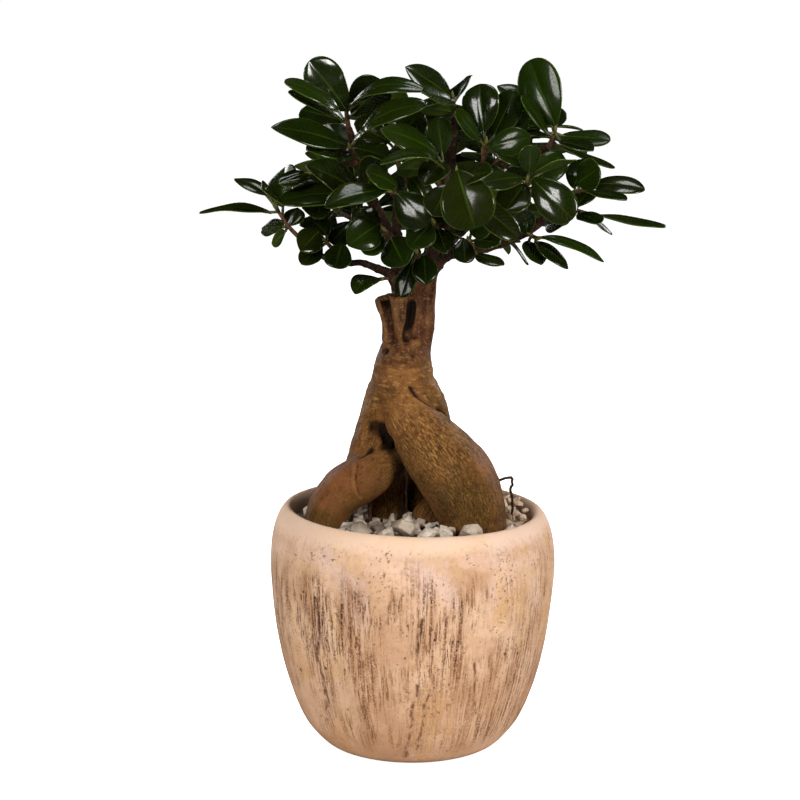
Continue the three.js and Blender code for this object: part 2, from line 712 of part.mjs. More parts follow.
// All leaves by shoot: first those in the picture, then the spirals where there is still room.
function growLeaves() {
  const names = Object.keys(SHOOTS);
  const twigs = Object.fromEntries(names.map((name) => [name, curveOf(SHOOTS[name].twig)]));
  const grown = Object.fromEntries(names.map((name) => [name, []]));
  const stems = branchProbes();
  const hasRoom = (shoot, leaf) => {
    const outer = leaf.probes.slice(INNER_PROBES);
    return apart(outer, stems, STEM_ROOM) && names.every((name) => (name === shoot
      ? grown[name].every((other) => apart(outer, other.probes.slice(INNER_PROBES), LEAF_ROOM))
      : apart(leaf.probes, twigs[name].getSpacedPoints(TWIG_PROBES), STEM_ROOM)
        && grown[name].every((other) => apart(leaf.probes, other.probes, LEAF_ROOM))));
  };
  const settle = (shoot, choices, needed) => {
    choices.forEach((leaf) => Object.assign(leaf, { probes: probesOf(leaf) }));
    const chosen = choices.find((leaf) => hasRoom(shoot, leaf)) ?? (needed ? choices[0] : null);
    if (chosen) grown[shoot].push(chosen);
    return chosen;
  };
  for (const name of names) {
    for (const row of SHOOTS[name].leaves) {
      settle(name, DEPTH_SHIFTS.map((shift) => picturedLeaf(row, twigs[name], shift)), true);
    }
  }
  names.forEach((name, s) => {
    const { spiral, leaves } = SHOOTS[name];
    for (let k = 0; k < spiral; k += 1) {
      const turned = SPIRAL_SIZES.flatMap((size) => SPIRAL_TURNS.map((turn) => (
        spiralLeaf(twigs[name], k, spiral, SHOOT_TURN * s + turn, size)
      )));
      const allowed = turned.filter(({ base, tip }) => (
        inCrown(tip) && (leaves.length === 0 || tip.y > base.y)
      ));
      settle(name, allowed, false);
    }
  });
  return grown;
}

// One body for stalk and blade: it starts inside the twig, and the blade arches along its midrib.
function leafSolid(leaf, grow) {
  const { foot, base, width } = leaf;
  const midrib = arched(leaf);
  const stalk = base.clone().sub(foot).normalize();
  const section = (place, ahead, halfWidth, halfHeight) => {
    const side = squareTo(ahead, sideOf(leaf));
    return { place, side, normal: side.clone().cross(ahead), width: halfWidth, height: halfHeight };
  };
  const bend = stalk.clone().add(midrib.getTangent(0)).normalize();
  const thin = STALK_RADIUS + grow;
  const stations = [section(foot, stalk, 0, 0), section(base, bend, thin, thin)];
  for (const [along, part] of BLADE_OUTLINE) {
    const halfWidth = (part * width) / 2 + grow;
    const halfHeight = LEAF_THICKNESS / 2 + grow;
    stations.push(section(midrib.getPoint(along), midrib.getTangent(along), halfWidth, halfHeight));
  }
  const end = midrib.getTangent(1);
  stations.push(section(midrib.getPoint(1).addScaledVector(end, grow), end, 0, 0));
  return bentBody(stations, 4);
}

function shootSolid(twig, leaves, grow) {
  return joined([stem(twig, 5, 2, grow), ...leaves.map((leaf) => leafSolid(leaf, grow))]);
}

// ---- stones ----

// Larger stones on the gravel, between the roots: [x, y, size, roll, turn], angles in degrees.
const STONES = [
  [-27.5, -48.5, 1.15, 20, 10],
  [-14, -54, 1.05, 75, 60],
  [-4, -44, 1.4, 130, 95],
  [7, -55.5, 1, 200, 140],
  [18, -51, 1.05, 40, 200],
  [31, -47.5, 1.25, 95, 15],
  [-18, -38.5, 0.85, 160, 260],
  [55, 1, 1, 100, 30],
  [47, 13, 0.9, 230, 120],
  [49, 26, 1.1, 15, 290],
  [-56, -2, 0.9, 60, 170],
  [4, 54, 1, 110, 45],
  [-11, 50, 0.9, 190, 220],
];

// Broken stone: a facetted ball squashed and turned its own way, resting on the gravel bed.
function stoneSolid([x, y, size, roll, turn]) {
  const rock = new THREE.IcosahedronGeometry(STONE_SIZE * size, 0);
  rock.scale(1.15, 0.9, 0.75);
  rock.rotateX(THREE.MathUtils.degToRad(roll));
  rock.rotateZ(THREE.MathUtils.degToRad(turn));
  rock.computeBoundingBox();
  const bedHeight = GRAVEL_TOP + dropAt(x - STONE_SIZE, GRAVEL_TOP);
  rock.translate(x, y, bedHeight + SEAT_GAP - rock.boundingBox.min.z);
  return solid(rock);
}

// ---- assembly ----
const CLAY = { color: 0xdcb898, roughness: 0.85, metalness: 0 };
const SOIL = { color: 0x2b2018, roughness: 1, metalness: 0 };
const STONE = { color: 0xcfc8be, roughness: 0.8, metalness: 0 };
const BARK = { color: 0x6e5230, roughness: 0.75, metalness: 0 };
const LEAF = { color: 0x1e3310, roughness: 0.3, metalness: 0 };

const bonsai = new THREE.Group();

function place(name, piece, finish) {
  const mesh = new THREE.Mesh(geometryOf(piece), new THREE.MeshStandardMaterial(finish));
  mesh.name = name;
  bonsai.add(mesh);
}

const plant = rootsAndBranches(0);
const plantSpace = rootsAndBranches(SEAT_GAP);
const gravelBottom = GRAVEL_TOP - GRAVEL_DEPTH;

place('pot', potSolid(), CLAY);
const soil = filling(POT_FLOOR + SEAT_GAP, gravelBottom - SEAT_GAP);
place('soil', mainBody(soil.subtract(plantSpace)), SOIL);
const gravel = filling(gravelBottom, GRAVEL_TOP);
place('gravel_bed', mainBody(gravel.subtract(plantSpace)), STONE);
STONES.forEach((row, i) => {
  place(`stone_${i + 1}`, mainBody(stoneSolid(row).subtract(plantSpace)), STONE);
});
place('trunk', mainBody(plant), BARK);

const grownLeaves = growLeaves();
let taken = plantSpace;
for (const [name, { twig }] of Object.entries(SHOOTS)) {
  const shoot = shootSolid(twig, grownLeaves[name], 0);
  place(`shoot_${name}`, mainBody(shoot.subtract(taken)), LEAF);
  taken = taken.add(shootSolid(twig, grownLeaves[name], LEAF_CLEARANCE));
}

export default bonsai;
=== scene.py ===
# Fig bonsai with swollen roots in a hand-made clay pot, topped with pale gravel.
# Sizes are in millimetres and places in pixels of the 800 x 800 picture; meshes are made in metres.
import math
from collections import namedtuple

import bmesh
import bpy
import numpy as np
from mathutils import Euler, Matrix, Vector, noise
from mathutils.bvhtree import BVHTree


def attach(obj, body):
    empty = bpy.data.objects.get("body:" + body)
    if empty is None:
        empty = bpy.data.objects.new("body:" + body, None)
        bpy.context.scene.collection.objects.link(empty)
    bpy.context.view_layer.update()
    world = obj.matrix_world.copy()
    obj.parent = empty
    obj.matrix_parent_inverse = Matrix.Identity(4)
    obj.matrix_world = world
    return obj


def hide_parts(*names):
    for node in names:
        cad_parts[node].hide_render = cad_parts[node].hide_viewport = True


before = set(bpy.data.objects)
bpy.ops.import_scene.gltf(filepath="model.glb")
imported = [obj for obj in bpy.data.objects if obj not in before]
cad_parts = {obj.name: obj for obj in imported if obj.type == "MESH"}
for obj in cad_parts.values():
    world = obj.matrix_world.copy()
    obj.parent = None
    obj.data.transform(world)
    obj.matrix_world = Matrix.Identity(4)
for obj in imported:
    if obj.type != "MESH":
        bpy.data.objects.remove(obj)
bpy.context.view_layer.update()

# ---- driving dimensions (mm, degrees) ----
MM = 0.001
WELD = 1e-6
POT_HEIGHT = 134
POT_SIDES = 144
RIM_TILT = 0.028
RIM_TILT_START = 60
RIM_SHIFT = 0.7
GRAVEL_TOP = 126
GOLDEN_ANGLE = 137.5
LEAF_THICKNESS = 0.8

# Where the picture was taken from: it turns a pixel and a depth into millimetres.
EYE = np.array([-6.6, -1500.0, 492.0])
EYE_PITCH = math.radians(11.25)
FOCAL_PIXELS = 2801
PICTURE_CENTRE = 400
PICTURE_SIZE = 800
SENSOR_WIDTH = 36

UP = np.array([0.0, 0.0, 1.0])
CROWN_CENTRE = np.array([16.0, 4.0, 314.0])
CROWN_REACH = np.array([90.0, 112.0, 54.0])

# ---- roots, trunk and branches: (px, py, depth, radius) ----
ROOTS = {
    "neck": (
        (407, 336, 0, 11.5), (405, 354, 0, 14.2), (403, 368, 0, 16.2), (402, 386, 1, 17),
        (400, 408, 4, 12),
    ),
    "main_root": (
        (402, 366, 0, 13), (401, 392, -2, 13.4), (409, 416, -8, 15.2), (427, 441, -14, 18.4),
        (447, 467, -18, 21), (464, 492, -20, 20), (474, 520, -20, 16.8), (475, 556, -18, 13),
        (475, 590, -16, 8),
    ),
    "left_leg": (
        (394, 380, 1, 12), (387, 402, 2, 13), (379, 426, 1, 12.2), (371, 447, -2, 10.8),
        (364, 466, -7, 10), (354, 484, -15, 8),
    ),
    "left_root": (
        (401, 460, -6, 5), (394, 461, -8, 10), (384, 464, -11, 13), (371, 473, -13, 13.2),
        (357, 482, -15, 12.4), (342, 493, -18, 11.8), (329, 511, -20, 11.3), (323, 538, -20, 9),
        (321, 565, -20, 5),
    ),
    "middle_root": (
        (383, 430, 4, 8), (387, 458, 7, 11), (386, 495, 6, 10.6), (387, 530, 4, 10.2), (388, 570, 4, 6),
    ),
    "knob_root": (
        (454, 496, 8, 6), (440, 508, 2, 9), (429, 519, -3, 9.8), (425, 534, -4, 9.8), (424, 562, -4, 6),
    ),
    "heart": (
        (404, 400, 8, 13), (405, 430, 18, 16), (407, 462, 26, 16), (409, 500, 28, 15),
        (410, 545, 28, 10),
    ),
    "back_right_root": (
        (410, 366, 4, 9), (416, 381, 0, 9.8), (424, 395, -1, 11.6), (428.5, 408, 0, 11.4),
        (430, 420, 6, 10.8), (438, 442, 22, 11.5), (446, 468, 36, 12), (456, 502, 44, 11),
        (462, 545, 44, 7),
    ),
    "back_left_root": (
        (400, 388, 12, 12), (390, 420, 26, 13.5), (372, 456, 38, 12), (356, 492, 42, 10.5),
        (350, 540, 42, 7),
    ),
}

STEMS = {
    "left_stem": ((399, 354, -2, 8.5), (396, 328, -3, 7.6), (397, 296, -3, 6.6)),
    "broken_stub": ((393, 344, -2, 4.6), (387, 320, -3, 3.4), (381, 298, -3, 2.7)),
    "right_stem": (
        (414, 356, 0, 8.5), (420, 328, 0, 7.9), (421.5, 300, 0, 7.6), (426.5, 276, 0, 7),
        (432, 256, -2, 5.6),
    ),
    "back_stem": ((407, 352, 5, 9), (408, 315, 8, 8), (404, 285, 6, 7), (401, 262, 4, 5.4)),
}

BRANCHES = {
    "left": (
        (400, 286, 0, 4.4), (389, 274, -4, 2.5), (375, 267.5, -8, 1.9), (362, 263, -11, 1.6),
        (349, 263, -14, 1.6), (322, 256, -20, 1.5), (302, 240, -24, 1.4),
    ),
    "upper_left": (
        (401, 266, 4, 5.2), (386, 232, 0, 3.6), (369, 192, -4, 2.9), (357, 156, -8, 2.3),
        (349, 128, -11, 1.7),
    ),
    "centre": (
        (430, 262, -1, 5.2), (439, 232, 0, 4.2), (446, 192, 0, 3.2), (452, 150, 0, 2.5),
        (455, 116, -1, 1.8),
    ),
    "right": (
        (428, 270, -3, 5.2), (446, 254, -8, 4), (470, 250, -12, 3.1), (500, 243, -16, 2.7),
        (530, 230, -18, 2.4), (553, 210, -19, 2), (566, 198, -21, 1.6),
    ),
    "upper_right": (
        (439, 234, 1, 3.6), (464, 198, 6, 3), (492, 170, 8, 2.6), (524, 156, 6, 2.2),
        (548, 148, 2, 1.8),
    ),
    "front_left": (
        (402, 268, -1, 4.4), (397, 238, -26, 3.1), (396, 210, -44, 2.4), (397, 196, -50, 1.8),
    ),
    "front_right": ((429, 262, -4, 4.4), (440, 236, -32, 3), (454, 214, -52, 2.3), (459, 196, -62, 1.8)),
    "back_left": ((402, 268, 6, 4.6), (385, 240, 28, 3.2), (356, 214, 48, 2.4), (334, 196, 60, 1.7)),
    "back_right": ((428, 264, 3, 4.6), (455, 236, 30, 3.2), (486, 212, 52, 2.4), (508, 196, 66, 1.7)),
    "back_top": ((412, 262, 6, 4.6), (412, 218, 24, 3.4), (408, 176, 36, 2.5), (404, 148, 40, 1.8)),
}

THIN_ROOTS = {
    "hanging": (
        (486, 484, -18, 0.9), (500, 480, -16, 0.9), (506, 478, -15, 0.8), (510.8, 477.4, -14.5, 0.8),
        (511.8, 479.5, -14, 0.8), (510.9, 482, -14, 0.7), (512.6, 484.4, -13, 0.7),
        (510.6, 487, -13, 0.7), (511.8, 498, -12, 0.7), (512, 520, -10, 0.7),
    ),
    "dangling_left": ((359, 500, -14, 1.1), (352, 516, -18, 1), (347, 545, -18, 0.9)),
    "dangling_right": ((369, 494, -10, 1.1), (370, 515, -12, 1), (371, 548, -12, 0.9)),
    "in_the_arch": (
        (400, 462, -8, 0.9), (405, 471, -9, 0.8), (408, 481, -9, 0.8), (406.5, 492, -8, 0.7),
        (407, 512, -7, 0.7),
    ),
}

# twig: (px, py, depth, radius) from the branch outward. spiral: how many leaves grow in a spiral on the
# far side. leaves: the ones that the picture shows, as (base px, py, depth, tip px, py, depth, width, tilt,
# arch); tilt 0 turns the upper side to the viewer and 90 to the sky.
Shoot = namedtuple("Shoot", "twig spiral leaves", defaults=((),))
SHOOTS = {
    "top_left": Shoot(((349, 130, -11, 1.5), (347, 118, -12, 1.3), (346, 106, -14, 1)), 4, (
        (347, 111, -14, 309, 61, -26, 22, 16, 3), (345, 124, -15, 284, 82, -30, 14, 58, 7),
        (342, 121, -17, 288, 92, -40, 12, 66, 3), (345, 122, -8, 301, 110, 8, 17, 40, 2),
        (350, 106, -12, 427, 92, -34, 15, 62, 10), (352, 116, -5, 382, 81, 6, 23, 12, 2),
    )),
    "upper_left": Shoot(((357, 158, -8, 1.7), (353, 152, -18, 1.4), (350, 147, -26, 1.1)), 2, (
        (348, 146, -27, 271, 127, -44, 17, 42, 4), (354, 142, -26, 426, 105, -44, 16, 56, 8),
        (346, 152, -26, 306, 150, -48, 18, 50, 3), (355, 148, -26, 386, 157, -40, 15, 38, 2),
    )),
    "left_upper": Shoot(((358, 162, -8, 1.7), (334, 166, -20, 1.4), (312, 172, -32, 1.1)), 0, (
        (308, 173, -34, 278, 184, -44, 12, 45, 2), (330, 164, -20, 345, 140, -6, 17, 30, 2),
        (350, 158, -12, 328, 124, 2, 16, 30, 2),
    )),
    "left_middle": Shoot(((369, 192, -4, 1.8), (366, 196, -18, 1.5), (364, 197, -28, 1.2)), 4, (
        (361, 195, -30, 305, 165, -50, 20, 40, 4), (361, 199, -30, 277, 203, -48, 20, 52, 6),
        (366, 192, -29, 377, 158, -44, 16, 15, 2), (358, 198, -22, 290, 184, -30, 19, 46, 3),
    )),
    "left_tip": Shoot(((302, 240, -24, 1.3), (289, 227, -27, 1.1), (276, 208, -29, 0.9)), 1, (
        (272, 213, -28, 199, 213, -18, 15, 74, 4), (268, 195, -30, 234, 179, -22, 12, 54, 3),
        (276, 203, -31, 262, 190, -52, 17, 84, 4), (285, 227, -27, 262, 228, -14, 12, 40, 2),
        (286, 231, -26, 272, 244, -36, 10, 130, 1), (290, 226, -26, 298, 208, -12, 12, 20, 1),
    )),
    "left_low": Shoot(((348, 263, -14, 1.5), (336, 252, -22, 1.3), (324, 240, -28, 1)), 4, (
        (319, 231, -29, 300, 251, -42, 15, 8, 2), (322, 246, -27, 301, 264, -38, 12, 25, 2),
        (342, 243, -26, 335, 268, -38, 15, 6, 2), (328, 236, -27, 306, 218, -10, 16, 40, 3),
    )),
    "left_front": Shoot(((397, 198, -49, 1.7), (394, 194, -55, 1.4), (390, 191, -61, 1.1)), 2, (
        (388, 190, -62, 325, 207, -76, 18, 48, 4), (396, 192, -60, 427, 226, -69, 19, -3, 3),
        (398, 188, -57, 366, 172, -66, 16, 50, 3),
    )),
    "low_front": Shoot(((397, 240, -25, 1.8), (392, 236, -36, 1.4), (385, 230, -44, 1.1)), 2, (
        (379, 224, -47, 348, 246, -60, 19, 12, 3), (383, 236, -44, 364, 254, -54, 13, 30, 2),
        (391, 238, -42, 405, 266, -56, 20, -6, 2), (382, 226, -40, 352, 214, -40, 18, 45, 3),
    )),
    "low_centre": Shoot(((421, 266, -5, 1.6), (419, 258, -16, 1.3), (417, 252, -24, 1)), 0, (
        (412, 262, -23, 401, 297, -28, 11, 18, 1), (424, 256, -23, 426, 285, -32, 14, 4, 1),
    )),
    "stub_leaf": Shoot(((394, 278, -3, 1.3), (388, 278, -6, 1.1), (382, 279, -8, 0.9)), 0, (
        (379, 279, -8, 355, 294, -24, 15, 50, 5),
    )),
    "top_centre": Shoot(((455, 118, -1, 1.6), (454, 108, -4, 1.3), (453, 99, -6, 1)), 4, (
        (452, 98, -7, 405, 67, -22, 16, 34, 3), (451, 100, -8, 422, 93, -32, 14, 54, 2),
        (456, 112, -6, 424, 107, -34, 14, 130, 2), (458, 97, 0, 465, 79, 20, 18, 60, 2),
    )),
    "centre_upper": Shoot(((478, 184, 7, 1.8), (483, 163, -8, 1.5), (486, 142, -20, 1.1)), 4, (
        (484, 133, -23, 480, 84, -16, 21, -18, 3), (480, 141, -20, 455, 112, -30, 13, 50, 2),
        (488, 148, -22, 531, 137, -27, 15, 12, 3), (492, 140, -14, 515, 91, -8, 17, 8, 2),
        (493, 152, -14, 527, 163, -8, 14, 50, 2),
    )),
    "centre_left": Shoot(((447, 186, 0, 1.8), (446, 176, -22, 1.5), (442, 164, -38, 1.1)), 2, (
        (438, 154, -40, 380, 129, -54, 18, 44, 4), (445, 170, -38, 380, 165, -62, 14, 68, 9),
        (440, 173, -34, 397, 168, -46, 16, 128, 3), (443, 162, -40, 424, 186, -58, 17, 30, 3),
    )),
    "top_right": Shoot(((548, 148, 2, 1.7), (552, 140, -1, 1.4), (555, 130, -4, 1.1)), 4, (
        (555.7, 126, -6, 530, 60, 6, 25, -19, 3), (549, 118, 8, 497, 86, 14, 15, 42, 3),
        (549, 136, 2, 522, 95, 4, 12, 60, 2), (560, 136, -5, 610, 141, -18, 14, 50, 1.5),
        (558, 141, -5, 593, 151, -22, 14, 64, 2), (557, 147, 2, 615, 168, 0, 14, 80, 2),
    )),
    "right_high": Shoot(((562, 202, -20, 1.5), (574, 192, -26, 1.3), (585, 190, -30, 1)), 2, (
        (577, 184, -30, 600, 168, -42, 17, 18, 2), (588, 186, -31, 645, 190, -42, 16, 52, 4),
        (584, 191, -32, 627, 200, -52, 11, 68, 2), (573, 188, -20, 588, 160, 0, 17, 30, 2),
    )),
    "right_tip": Shoot(((558, 207, -19, 1.5), (578, 211, -18, 1.2), (594, 215, -16, 0.9)), 2, (
        (597, 215, -16, 666, 226, -12, 15, 72, 1.5), (579, 213, -20, 599, 224, -38, 14, 52, 2),
        (592, 218, -14, 612, 234, -4, 12, 76, 1), (572, 214, -10, 546, 226, 6, 15, 40, 2),
        (576, 208, -16, 590, 192, 2, 14, 40, 2),
    )),
    "right_low": Shoot(((528, 232, -18, 1.5), (532, 236, -24, 1.2), (537, 238, -30, 1)), 2, (
        (540, 237, -31, 604, 262, -38, 11, 62, 5), (534, 241, -30, 568, 269, -36, 12, 54, 3),
        (527, 241, -28, 541, 265, -42, 14, 46, 2), (527, 234, -28, 523, 211, -42, 12, 8, 1),
    )),
    "right_under": Shoot(((474, 250, -12, 1.5), (472, 245, -20, 1.2), (469, 240, -26, 1)), 1, (
        (474, 254, -22, 504, 265, -32, 13, 58, 2), (463, 238, -28, 465, 263, -38, 12, 12, 1),
        (474, 240, -28, 500, 244, -44, 13, 46, 2), (470, 232, -28, 492, 218, -44, 15, 20, 2),
    )),
    "centre_front": Shoot(((459, 198, -61, 1.7), (458, 186, -68, 1.4), (457, 174, -72, 1.1)), 0, (
        (457, 170, -74, 475, 229, -85, 28, 2, 4), (450, 184, -70, 432, 216, -82, 17, 14, 2),
        (466, 196, -66, 518, 238, -70, 17, 34, 3), (462, 178, -68, 492, 172, -84, 16, 50, 2),
    )),
    "centre_low": Shoot(((442, 234, -34, 1.6), (438, 228, -44, 1.3), (434, 222, -52, 1)), 1, (
        (431, 224, -54, 410, 248, -64, 16, 26, 2), (438, 228, -52, 446, 254, -60, 14, 16, 2),
    )),
    "centre_right": Shoot(((528, 230, -18, 1.8), (525, 206, -34, 1.5), (527, 182, -42, 1.1)), 1, (
        (523, 178, -44, 480, 185, -62, 16, 48, 3), (525, 184, -46, 506, 210, -64, 18, 16, 2),
        (532, 178, -45, 573, 219, -57, 20, -2, 4), (529, 174, -43, 530, 145, -48, 12, 18, 1),
        (533, 176, -40, 577, 160, -44, 16, 110, 2),
    )),
    "back_left_top": Shoot(((376, 230, 36, 2), (370, 190, 46, 1.6), (368, 152, 46, 1.1)), 14),
    "back_left_end": Shoot(((348, 206, 54, 1.7), (342, 196, 62, 1.4), (340, 188, 68, 1.1)), 14),
    "back_left_low": Shoot(((356, 214, 48, 1.8), (364, 214, 66, 1.5), (372, 208, 84, 1.1)), 12),
    "back_far_low": Shoot(((455, 236, 30, 2), (446, 232, 56, 1.6), (440, 226, 78, 1.1)), 12),
    "back_top_end": Shoot(((404, 148, 40, 1.8), (404, 136, 46, 1.5), (406, 120, 50, 1.1)), 14),
    "back_middle": Shoot(((410, 196, 31, 2), (414, 186, 50, 1.6), (420, 176, 66, 1.1)), 12),
    "back_centre_low": Shoot(((412, 230, 20, 2), (424, 226, 42, 1.6), (432, 222, 62, 1.1)), 14),
    "back_right_top": Shoot(((480, 218, 50, 2), (496, 182, 52, 1.6), (508, 148, 46, 1.1)), 14),
    "back_right_end": Shoot(((500, 202, 62, 1.7), (512, 192, 66, 1.4), (524, 186, 68, 1.1)), 14),
    "back_right_low": Shoot(((480, 216, 50, 1.8), (494, 222, 56, 1.5), (504, 224, 62, 1.1)), 14),
    "inner_left": Shoot(((386, 232, 0, 2), (360, 222, 4, 1.6), (338, 212, 4, 1.1)), 6, (
        (350, 222, -2, 331, 243, -16, 14, 14, 2), (333, 212, 2, 318, 234, -8, 14, 12, 2),
        (332, 206, 2, 302, 208, -12, 15, 30, 2),
    )),
    "inner_top": Shoot(((408, 178, 36, 2), (399, 166, 18, 1.6), (396, 148, 4, 1.1)), 14, (
        (400, 140, -2, 420, 110, -16, 19, 14, 2), (390, 142, -2, 354, 124, -16, 18, 30, 2),
    )),
    "inner_centre": Shoot(((446, 192, 0, 2), (430, 170, 8, 1.6), (428, 146, 10, 1.1)), 14),
    "inner_right": Shoot(((492, 170, 8, 2), (512, 140, 18, 1.6), (520, 116, 22, 1.1)), 14),
    "inner_low": Shoot(((452, 216, 3, 2), (470, 214, 6, 1.6), (492, 208, 8, 1.1)), 11),
}

# Rooms are the gaps in mm that leaves keep; shifts, turns and sizes are tried in this order until one fits.
LEAF_ROOM = 5
STEM_ROOM = 4
PROBES_ALONG = (0.2, 0.4, 0.6, 0.8, 1)
PROBES_ACROSS = (-0.3, 0, 0.3)
STALK_PROBES = (0.5, 1)
INNER_PROBES = 5
BRANCH_PROBES = 24
TWIG_PROBES = 8
DEPTH_SHIFTS = (0, -5, 5, -10, 10, -15, 15, -20, 20, -25, 25)
FOOT_PLACES = (0.5, 0.6, 0.7, 0.8, 0.9)
UPRIGHT_SIDE = 0.25
SPIRAL_TURNS = (0, 25, -25, 50, -50, 75, -75, 100, -100, 125, -125, 150, -150, 175)
SPIRAL_SIZES = (1, 0.8, 0.62)
SPIRAL_START = 0.5
SPIRAL_SPAN = 0.45
SPIRAL_LEAN = 0.5
SPIRAL_LENGTH = 34
SPIRAL_LENGTH_CHANGE = 5
SPIRAL_CHANGE_STEP = 2.1
SPIRAL_WIDTH_RATIO = 0.56
SPIRAL_ARCH = 3
SPIRAL_STALK = 7
SPIRAL_DROOP = 5
SPIRAL_OUTLOOK = 0.7
SPIRAL_ZERO = np.array([0.3, 0.2, 1.0])
SHOOT_TURN = 70


# ---- places and lines ----
def seen(px, py, depth):
    """Point of the plant at a picture pixel, at a depth behind (+) or before (-) the pot's axis."""
    right = (px - PICTURE_CENTRE) / FOCAL_PIXELS
    down = (py - PICTURE_CENTRE) / FOCAL_PIXELS
    ahead = math.cos(EYE_PITCH) - down * math.sin(EYE_PITCH)
    lift = -math.sin(EYE_PITCH) - down * math.cos(EYE_PITCH)
    ray = np.array([right, ahead, lift])
    return EYE + ray * ((depth - EYE[1]) / ray[1])


def unit(arrow):
    return arrow / np.linalg.norm(arrow)


def square_to(axis, wish):
    """Unit vector closest to a wish, square to an axis."""
    return unit(wish - axis * np.dot(wish, axis))


def turned(arrow, axis, degrees):
    angle = math.radians(degrees)
    along, across = axis * np.dot(axis, arrow), np.cross(axis, arrow)
    return arrow * math.cos(angle) + across * math.sin(angle) + along * (1 - math.cos(angle))


class Route:
    """Smooth line through a table's rows, measured along its length."""

    STEPS = 200
    NEAR = 1e-4

    def __init__(self, rows):
        self.knots = np.array([seen(*row[:3]) for row in rows])
        self.widths = [row[3] for row in rows]
        self.times = np.linspace(0, 1, self.STEPS + 1)
        fine = np.array([self.point(time) for time in self.times])
        steps = np.linalg.norm(np.diff(fine, axis=0), axis=1)
        self.reached = np.concatenate([[0], np.cumsum(steps)])

    def point(self, time):
        knots = self.knots
        last = len(knots) - 1
        k = min(int(last * time), last - 1)
        share = last * time - k
        start, end = knots[k], knots[k + 1]
        before = knots[k - 1] if k > 0 else 2 * knots[0] - knots[1]
        after = knots[k + 2] if k + 2 <= last else 2 * knots[last] - knots[last - 1]
        gaps = [math.sqrt(np.linalg.norm(b - a)) for a, b in ((before, start), (start, end), (end, after))]
        leave = (start - before) / gaps[0] - (end - before) / (gaps[0] + gaps[1]) + (end - start) / gaps[1]
        arrive = (end - start) / gaps[1] - (after - start) / (gaps[1] + gaps[2]) + (after - end) / gaps[2]
        leave, arrive = leave * gaps[1], arrive * gaps[1]
        bend = -3 * start + 3 * end - 2 * leave - arrive
        twist = 2 * start - 2 * end + leave + arrive
        return start + share * (leave + share * (bend + share * twist))

    def time_at(self, along):
        return np.interp(along * self.reached[-1], self.reached, self.times)

    def at(self, along):
        return self.point(self.time_at(along))

    def ahead(self, along):
        time = self.time_at(along)
        return unit(self.point(min(time + self.NEAR, 1)) - self.point(max(time - self.NEAR, 0)))

    def spaced(self, count):
        return np.array([self.at(i / count) for i in range(count + 1)])

    def radii(self, count):
        places = np.linspace(0, len(self.widths) - 1, count + 1)
        return np.interp(places, range(len(self.widths)), self.widths)


# ---- where the leaves grow ----
def midrib_point(leaf, along):
    """Point of a leaf's arched midrib, for one place along it or a column of them."""
    control = (leaf["base"] + leaf["tip"]) / 2 + leaf["normal"] * 2 * leaf["arch"]
    rest = 1 - along
    return rest * rest * leaf["base"] + 2 * rest * along * control + along * along * leaf["tip"]


def side_of(leaf):
    return unit(np.cross(leaf["tip"] - leaf["base"], leaf["normal"]))


def pictured_leaf(row, twig, shift):
    """A leaf that the picture shows, moved in depth by a shift."""
    base_x, base_y, base_depth, tip_x, tip_y, tip_depth, width, tilt, arch = row
    base = seen(base_x, base_y, base_depth + shift)
    tip = seen(tip_x, tip_y, tip_depth + shift)
    axis = unit(tip - base)
    to_viewer = square_to(axis, EYE - base)
    across = np.cross(axis, to_viewer)
    if across[2] + UPRIGHT_SIDE * across[0] < 0:
        across = -across
    angle = math.radians(tilt)
    normal = to_viewer * math.cos(angle) + across * math.sin(angle)
    foot = min((twig.at(along) for along in FOOT_PLACES), key=lambda place: np.linalg.norm(place - base))
    return {"foot": foot, "base": base, "tip": tip, "width": width, "arch": arch, "normal": normal}


def spiral_leaf(twig, k, count, turn, size):
    """The k-th leaf of the spiral round a twig, looking up and away from the crown's middle."""
    along = SPIRAL_START + SPIRAL_SPAN * (k + 0.5) / count
    foot = twig.at(along)
    ahead = twig.ahead(along)
    around = turned(square_to(ahead, SPIRAL_ZERO), ahead, k * GOLDEN_ANGLE + turn)
    axis = unit(ahead * SPIRAL_LEAN + around)
    change = SPIRAL_LENGTH_CHANGE * math.sin(SPIRAL_CHANGE_STEP * k + turn)
    length = size * (SPIRAL_LENGTH + change)
    base = foot + axis * SPIRAL_STALK
    tip = base + axis * length - UP * SPIRAL_DROOP
    outward = unit((base - CROWN_CENTRE) * (1, 1, 0))
    normal = square_to(unit(tip - base), outward * SPIRAL_OUTLOOK + UP)
    width = length * SPIRAL_WIDTH_RATIO
    return {"foot": foot, "base": base, "tip": tip, "width": width, "arch": SPIRAL_ARCH, "normal": normal}


def probes_of(leaf):
    """Points of a leaf that keep their distance: stalk first, then the blade from its base to its tip."""
    side = side_of(leaf)
    points = [leaf["foot"] + (leaf["base"] - leaf["foot"]) * along for along in STALK_PROBES]
    for along in PROBES_ALONG:
        reach = leaf["width"] if along < 1 else 0
        points += [midrib_point(leaf, along) + side * across * reach for across in PROBES_ACROSS]
    return np.array(points)


def apart(points, others, room):
    if not len(others):
        return True
    steps = points[:, None, :] - others[None, :, :]
    return np.einsum("ijk,ijk->ij", steps, steps).min() > room * room


def in_crown(point):
    return np.linalg.norm((point - CROWN_CENTRE) / CROWN_REACH) < 1


